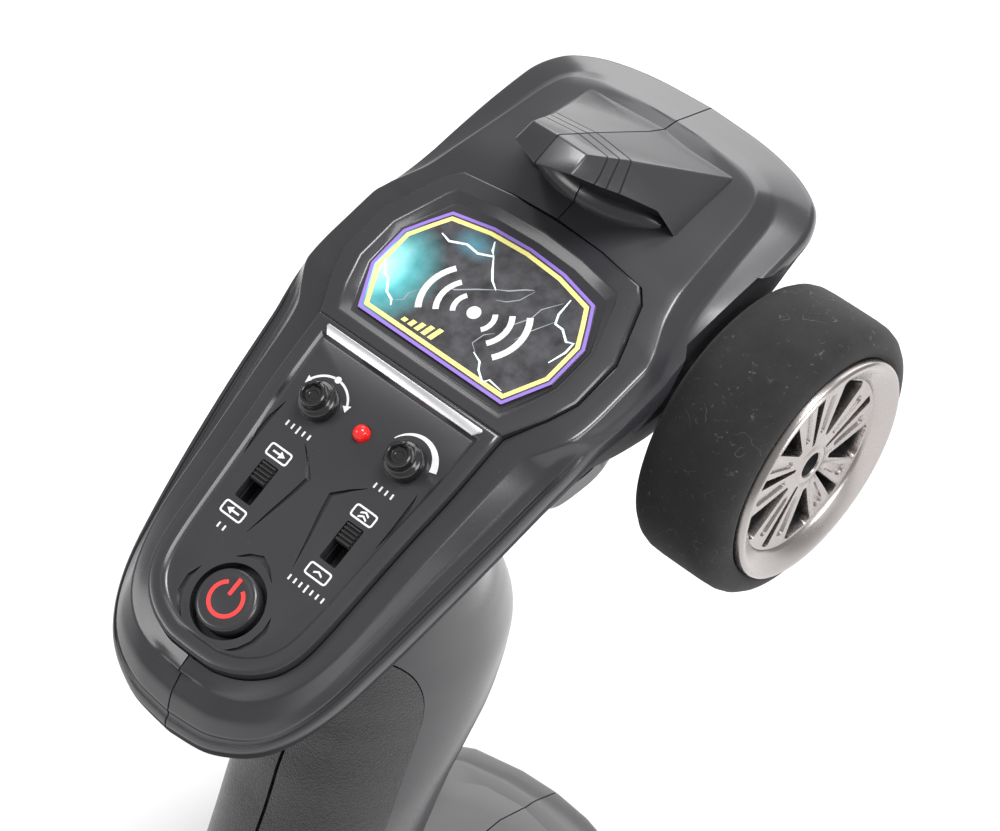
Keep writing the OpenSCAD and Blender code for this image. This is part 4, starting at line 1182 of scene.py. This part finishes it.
def wheel():
    """Foam tyre on a plated rim with a polished lip, ten spokes, slits, pockets and long recesses"""
    tyre = lathe(TYRE, AXIS, 160)
    finish_piece(tyre, "foam_tyre_skin", FINISH["foam_tyre"], "wheel", "wheel_tyre", 50)

    def turned(shape, degrees):
        a = math.radians(degrees)
        outline, radii = shape
        spun = [(x * math.cos(a) - y * math.sin(a), x * math.sin(a) + y * math.cos(a)) for x, y in outline]
        return rounded(spun, radii, 3, True)

    def tapered(low, bottom, high, top):
        return stack([at(low, bottom), at(high, top)], AXIS)

    rim = lathe(BARREL + LIP + HUB, AXIS, 120)
    for k in range(SPOKES):
        at_slit, at_pocket = 18 + 72 * k, 54 + 72 * k
        slit, pocket, pocket_rim = turned(SLIT, at_slit), turned(POCKET, at_pocket), turned(POCKET_RIM,
                                                                                            at_pocket)
        cut(rim, prism(slit, 40, 60, AXIS), prism(pocket, 40, 60, AXIS),
            tapered(slit, 49, inset_outline(slit, -0.22), 50.8), tapered(pocket, 49, pocket_rim, 50.8))
        for lean in (-1, 1):
            near, far = (Vector(polar(radius, lean * math.radians(angle))) for radius, angle, _ in RECESS)
            reach = far - near
            side = Vector((-reach.y, reach.x)).normalized()
            thin, wide = side * RECESS[0][2], side * RECESS[1][2]
            floor = turned(([near - thin, far - wide, far + wide, near + thin], [0.4, 0.9, 0.9, 0.4]),
                           at_slit)
            cut(rim, tapered(floor, 50, inset_outline(floor, -0.3), 50.5))
    skin(rim, "wheel_rim", "rim", "wheel", 32)
    # The inside behind the face isn't plated
    behind_face, inside_barrel = 49.3, 20.4
    rim.data.materials.append(FINISH["dark_plastic"])
    for face in rim.data.polygons:
        place = AXIS.inverted() @ (face.center / MM)
        if place.z < behind_face and place.xy.length < inside_barrel:
            face.material_index = 1


def trigger():
    """Trigger with rounded edges: arm, boss and finger loop"""
    side_view, pin = across(0, 0, 0), across(0, 43, 158)
    half = 4.8
    shape = rounded([(38.4, 158), (37.5, 147.5), (35.5, 141), (35.5, 131), (38, 127), (42, 125.5),
                     (51, 125.5),
                     (55, 127.5), (57, 131), (55.5, 141), (50, 147.5), (47.6, 158)],
                    [0.5, 4, 4, 6, 3, 3, 3, 3, 6, 6, 5, 0.5], 4, True)
    loop = rounded([(39, 140.5), (38.8, 131.5), (41, 128.9), (50.5, 128.9), (53.8, 131.5), (52.4, 140),
                    (48, 144),
                    (42, 144)], [4, 3, 3, 3, 3, 4, 3, 3], 4, True)
    body = union_of(prism(shape, -half, half, side_view), prism(circle(4.6, 48), -half, half, pin))
    cut(body, prism(loop, -20, 20, side_view), prism(circle(1.55, 32), -20, 20, pin))
    bevel(body, 0.7, 3, 50)
    finish_piece(body, "throttle_trigger_skin", FINISH["knobs"], "trigger", "throttle_trigger",
                 40)


# ---- stage

# Name, place, size and power of the lamps, in metres and watts
LAMPS = (("key", (-0.45, 1.25, 0.80), 1.3, 15), ("side", (1.15, 0.1, 0.75), 0.7, 11),
         ("top", (0.25, 0.15, 1.6), 0.6, 22), ("rear", (-0.75, -0.85, 0.75), 0.5, 5))
LAMPS_AIM = (0.005, 0.0, 0.15)
WORLD_LIGHT = 0.50
# The photograph's camera: its right, its back and its place in metres, then its lens in millimetres
CAMERA_RIGHT = (0.7439291, 0.6633654, 0.0807210)
CAMERA_BACK = (0.4281271, -0.5658642, 0.7046311)
CAMERA_PLACE = (0.2653, -0.32431, 0.59305)
CAMERA_LENS = 126


def stage():
    """Pale floor, soft light from above and behind, and a camera at the photograph's angle"""
    scene = bpy.context.scene
    half = 3.0
    floor = bpy.data.objects.new("floor", bpy.data.meshes.new("floor"))
    floor.data.from_pydata([(-half, -half, 0), (half, -half, 0), (half, half, 0), (-half, half, 0)], [],
                           [(0, 1, 2, 3)])
    link(floor)
    n = Nodes("pale_floor")
    floor.data.materials.append(n.surface(colour=n.mix(n.noise(3, 2), (0.72, 0.72, 0.72), (0.76, 0.76, 0.76)),
                                          roughness=0.7))

    world = bpy.data.worlds.new("studio")
    world.use_nodes = True
    light = world.node_tree.nodes["Background"].inputs
    light[0].default_value = (1, 1, 1, 1)
    light[1].default_value = WORLD_LIGHT
    scene.world = world

    for name, place, size, power in LAMPS:
        lamp = bpy.data.lights.new(name, "AREA")
        lamp.size = size
        lamp.energy = power
        obj = link(bpy.data.objects.new(name, lamp))
        obj.location = place
        obj.rotation_euler = (Vector(LAMPS_AIM) - Vector(place)).to_track_quat("-Z", "Y").to_euler()

    right = Vector(CAMERA_RIGHT).normalized()
    back = Vector(CAMERA_BACK).normalized()
    up = back.cross(right)
    camera = link(bpy.data.objects.new("camera", bpy.data.cameras.new("camera")))
    camera.data.lens = CAMERA_LENS
    camera.data.sensor_width = 36
    camera.data.clip_start = 0.01
    camera.matrix_world = Matrix([(right[i], up[i], back[i], CAMERA_PLACE[i]) for i in range(3)] + [(0, 0, 0,
                                                                                                     1)])
    scene.camera = camera
    scene.view_settings.view_transform = "Standard"


shells()
grip_pads()
control_panel()
badge()
panel_marks()
controls()
wheel()
trigger()
stage()
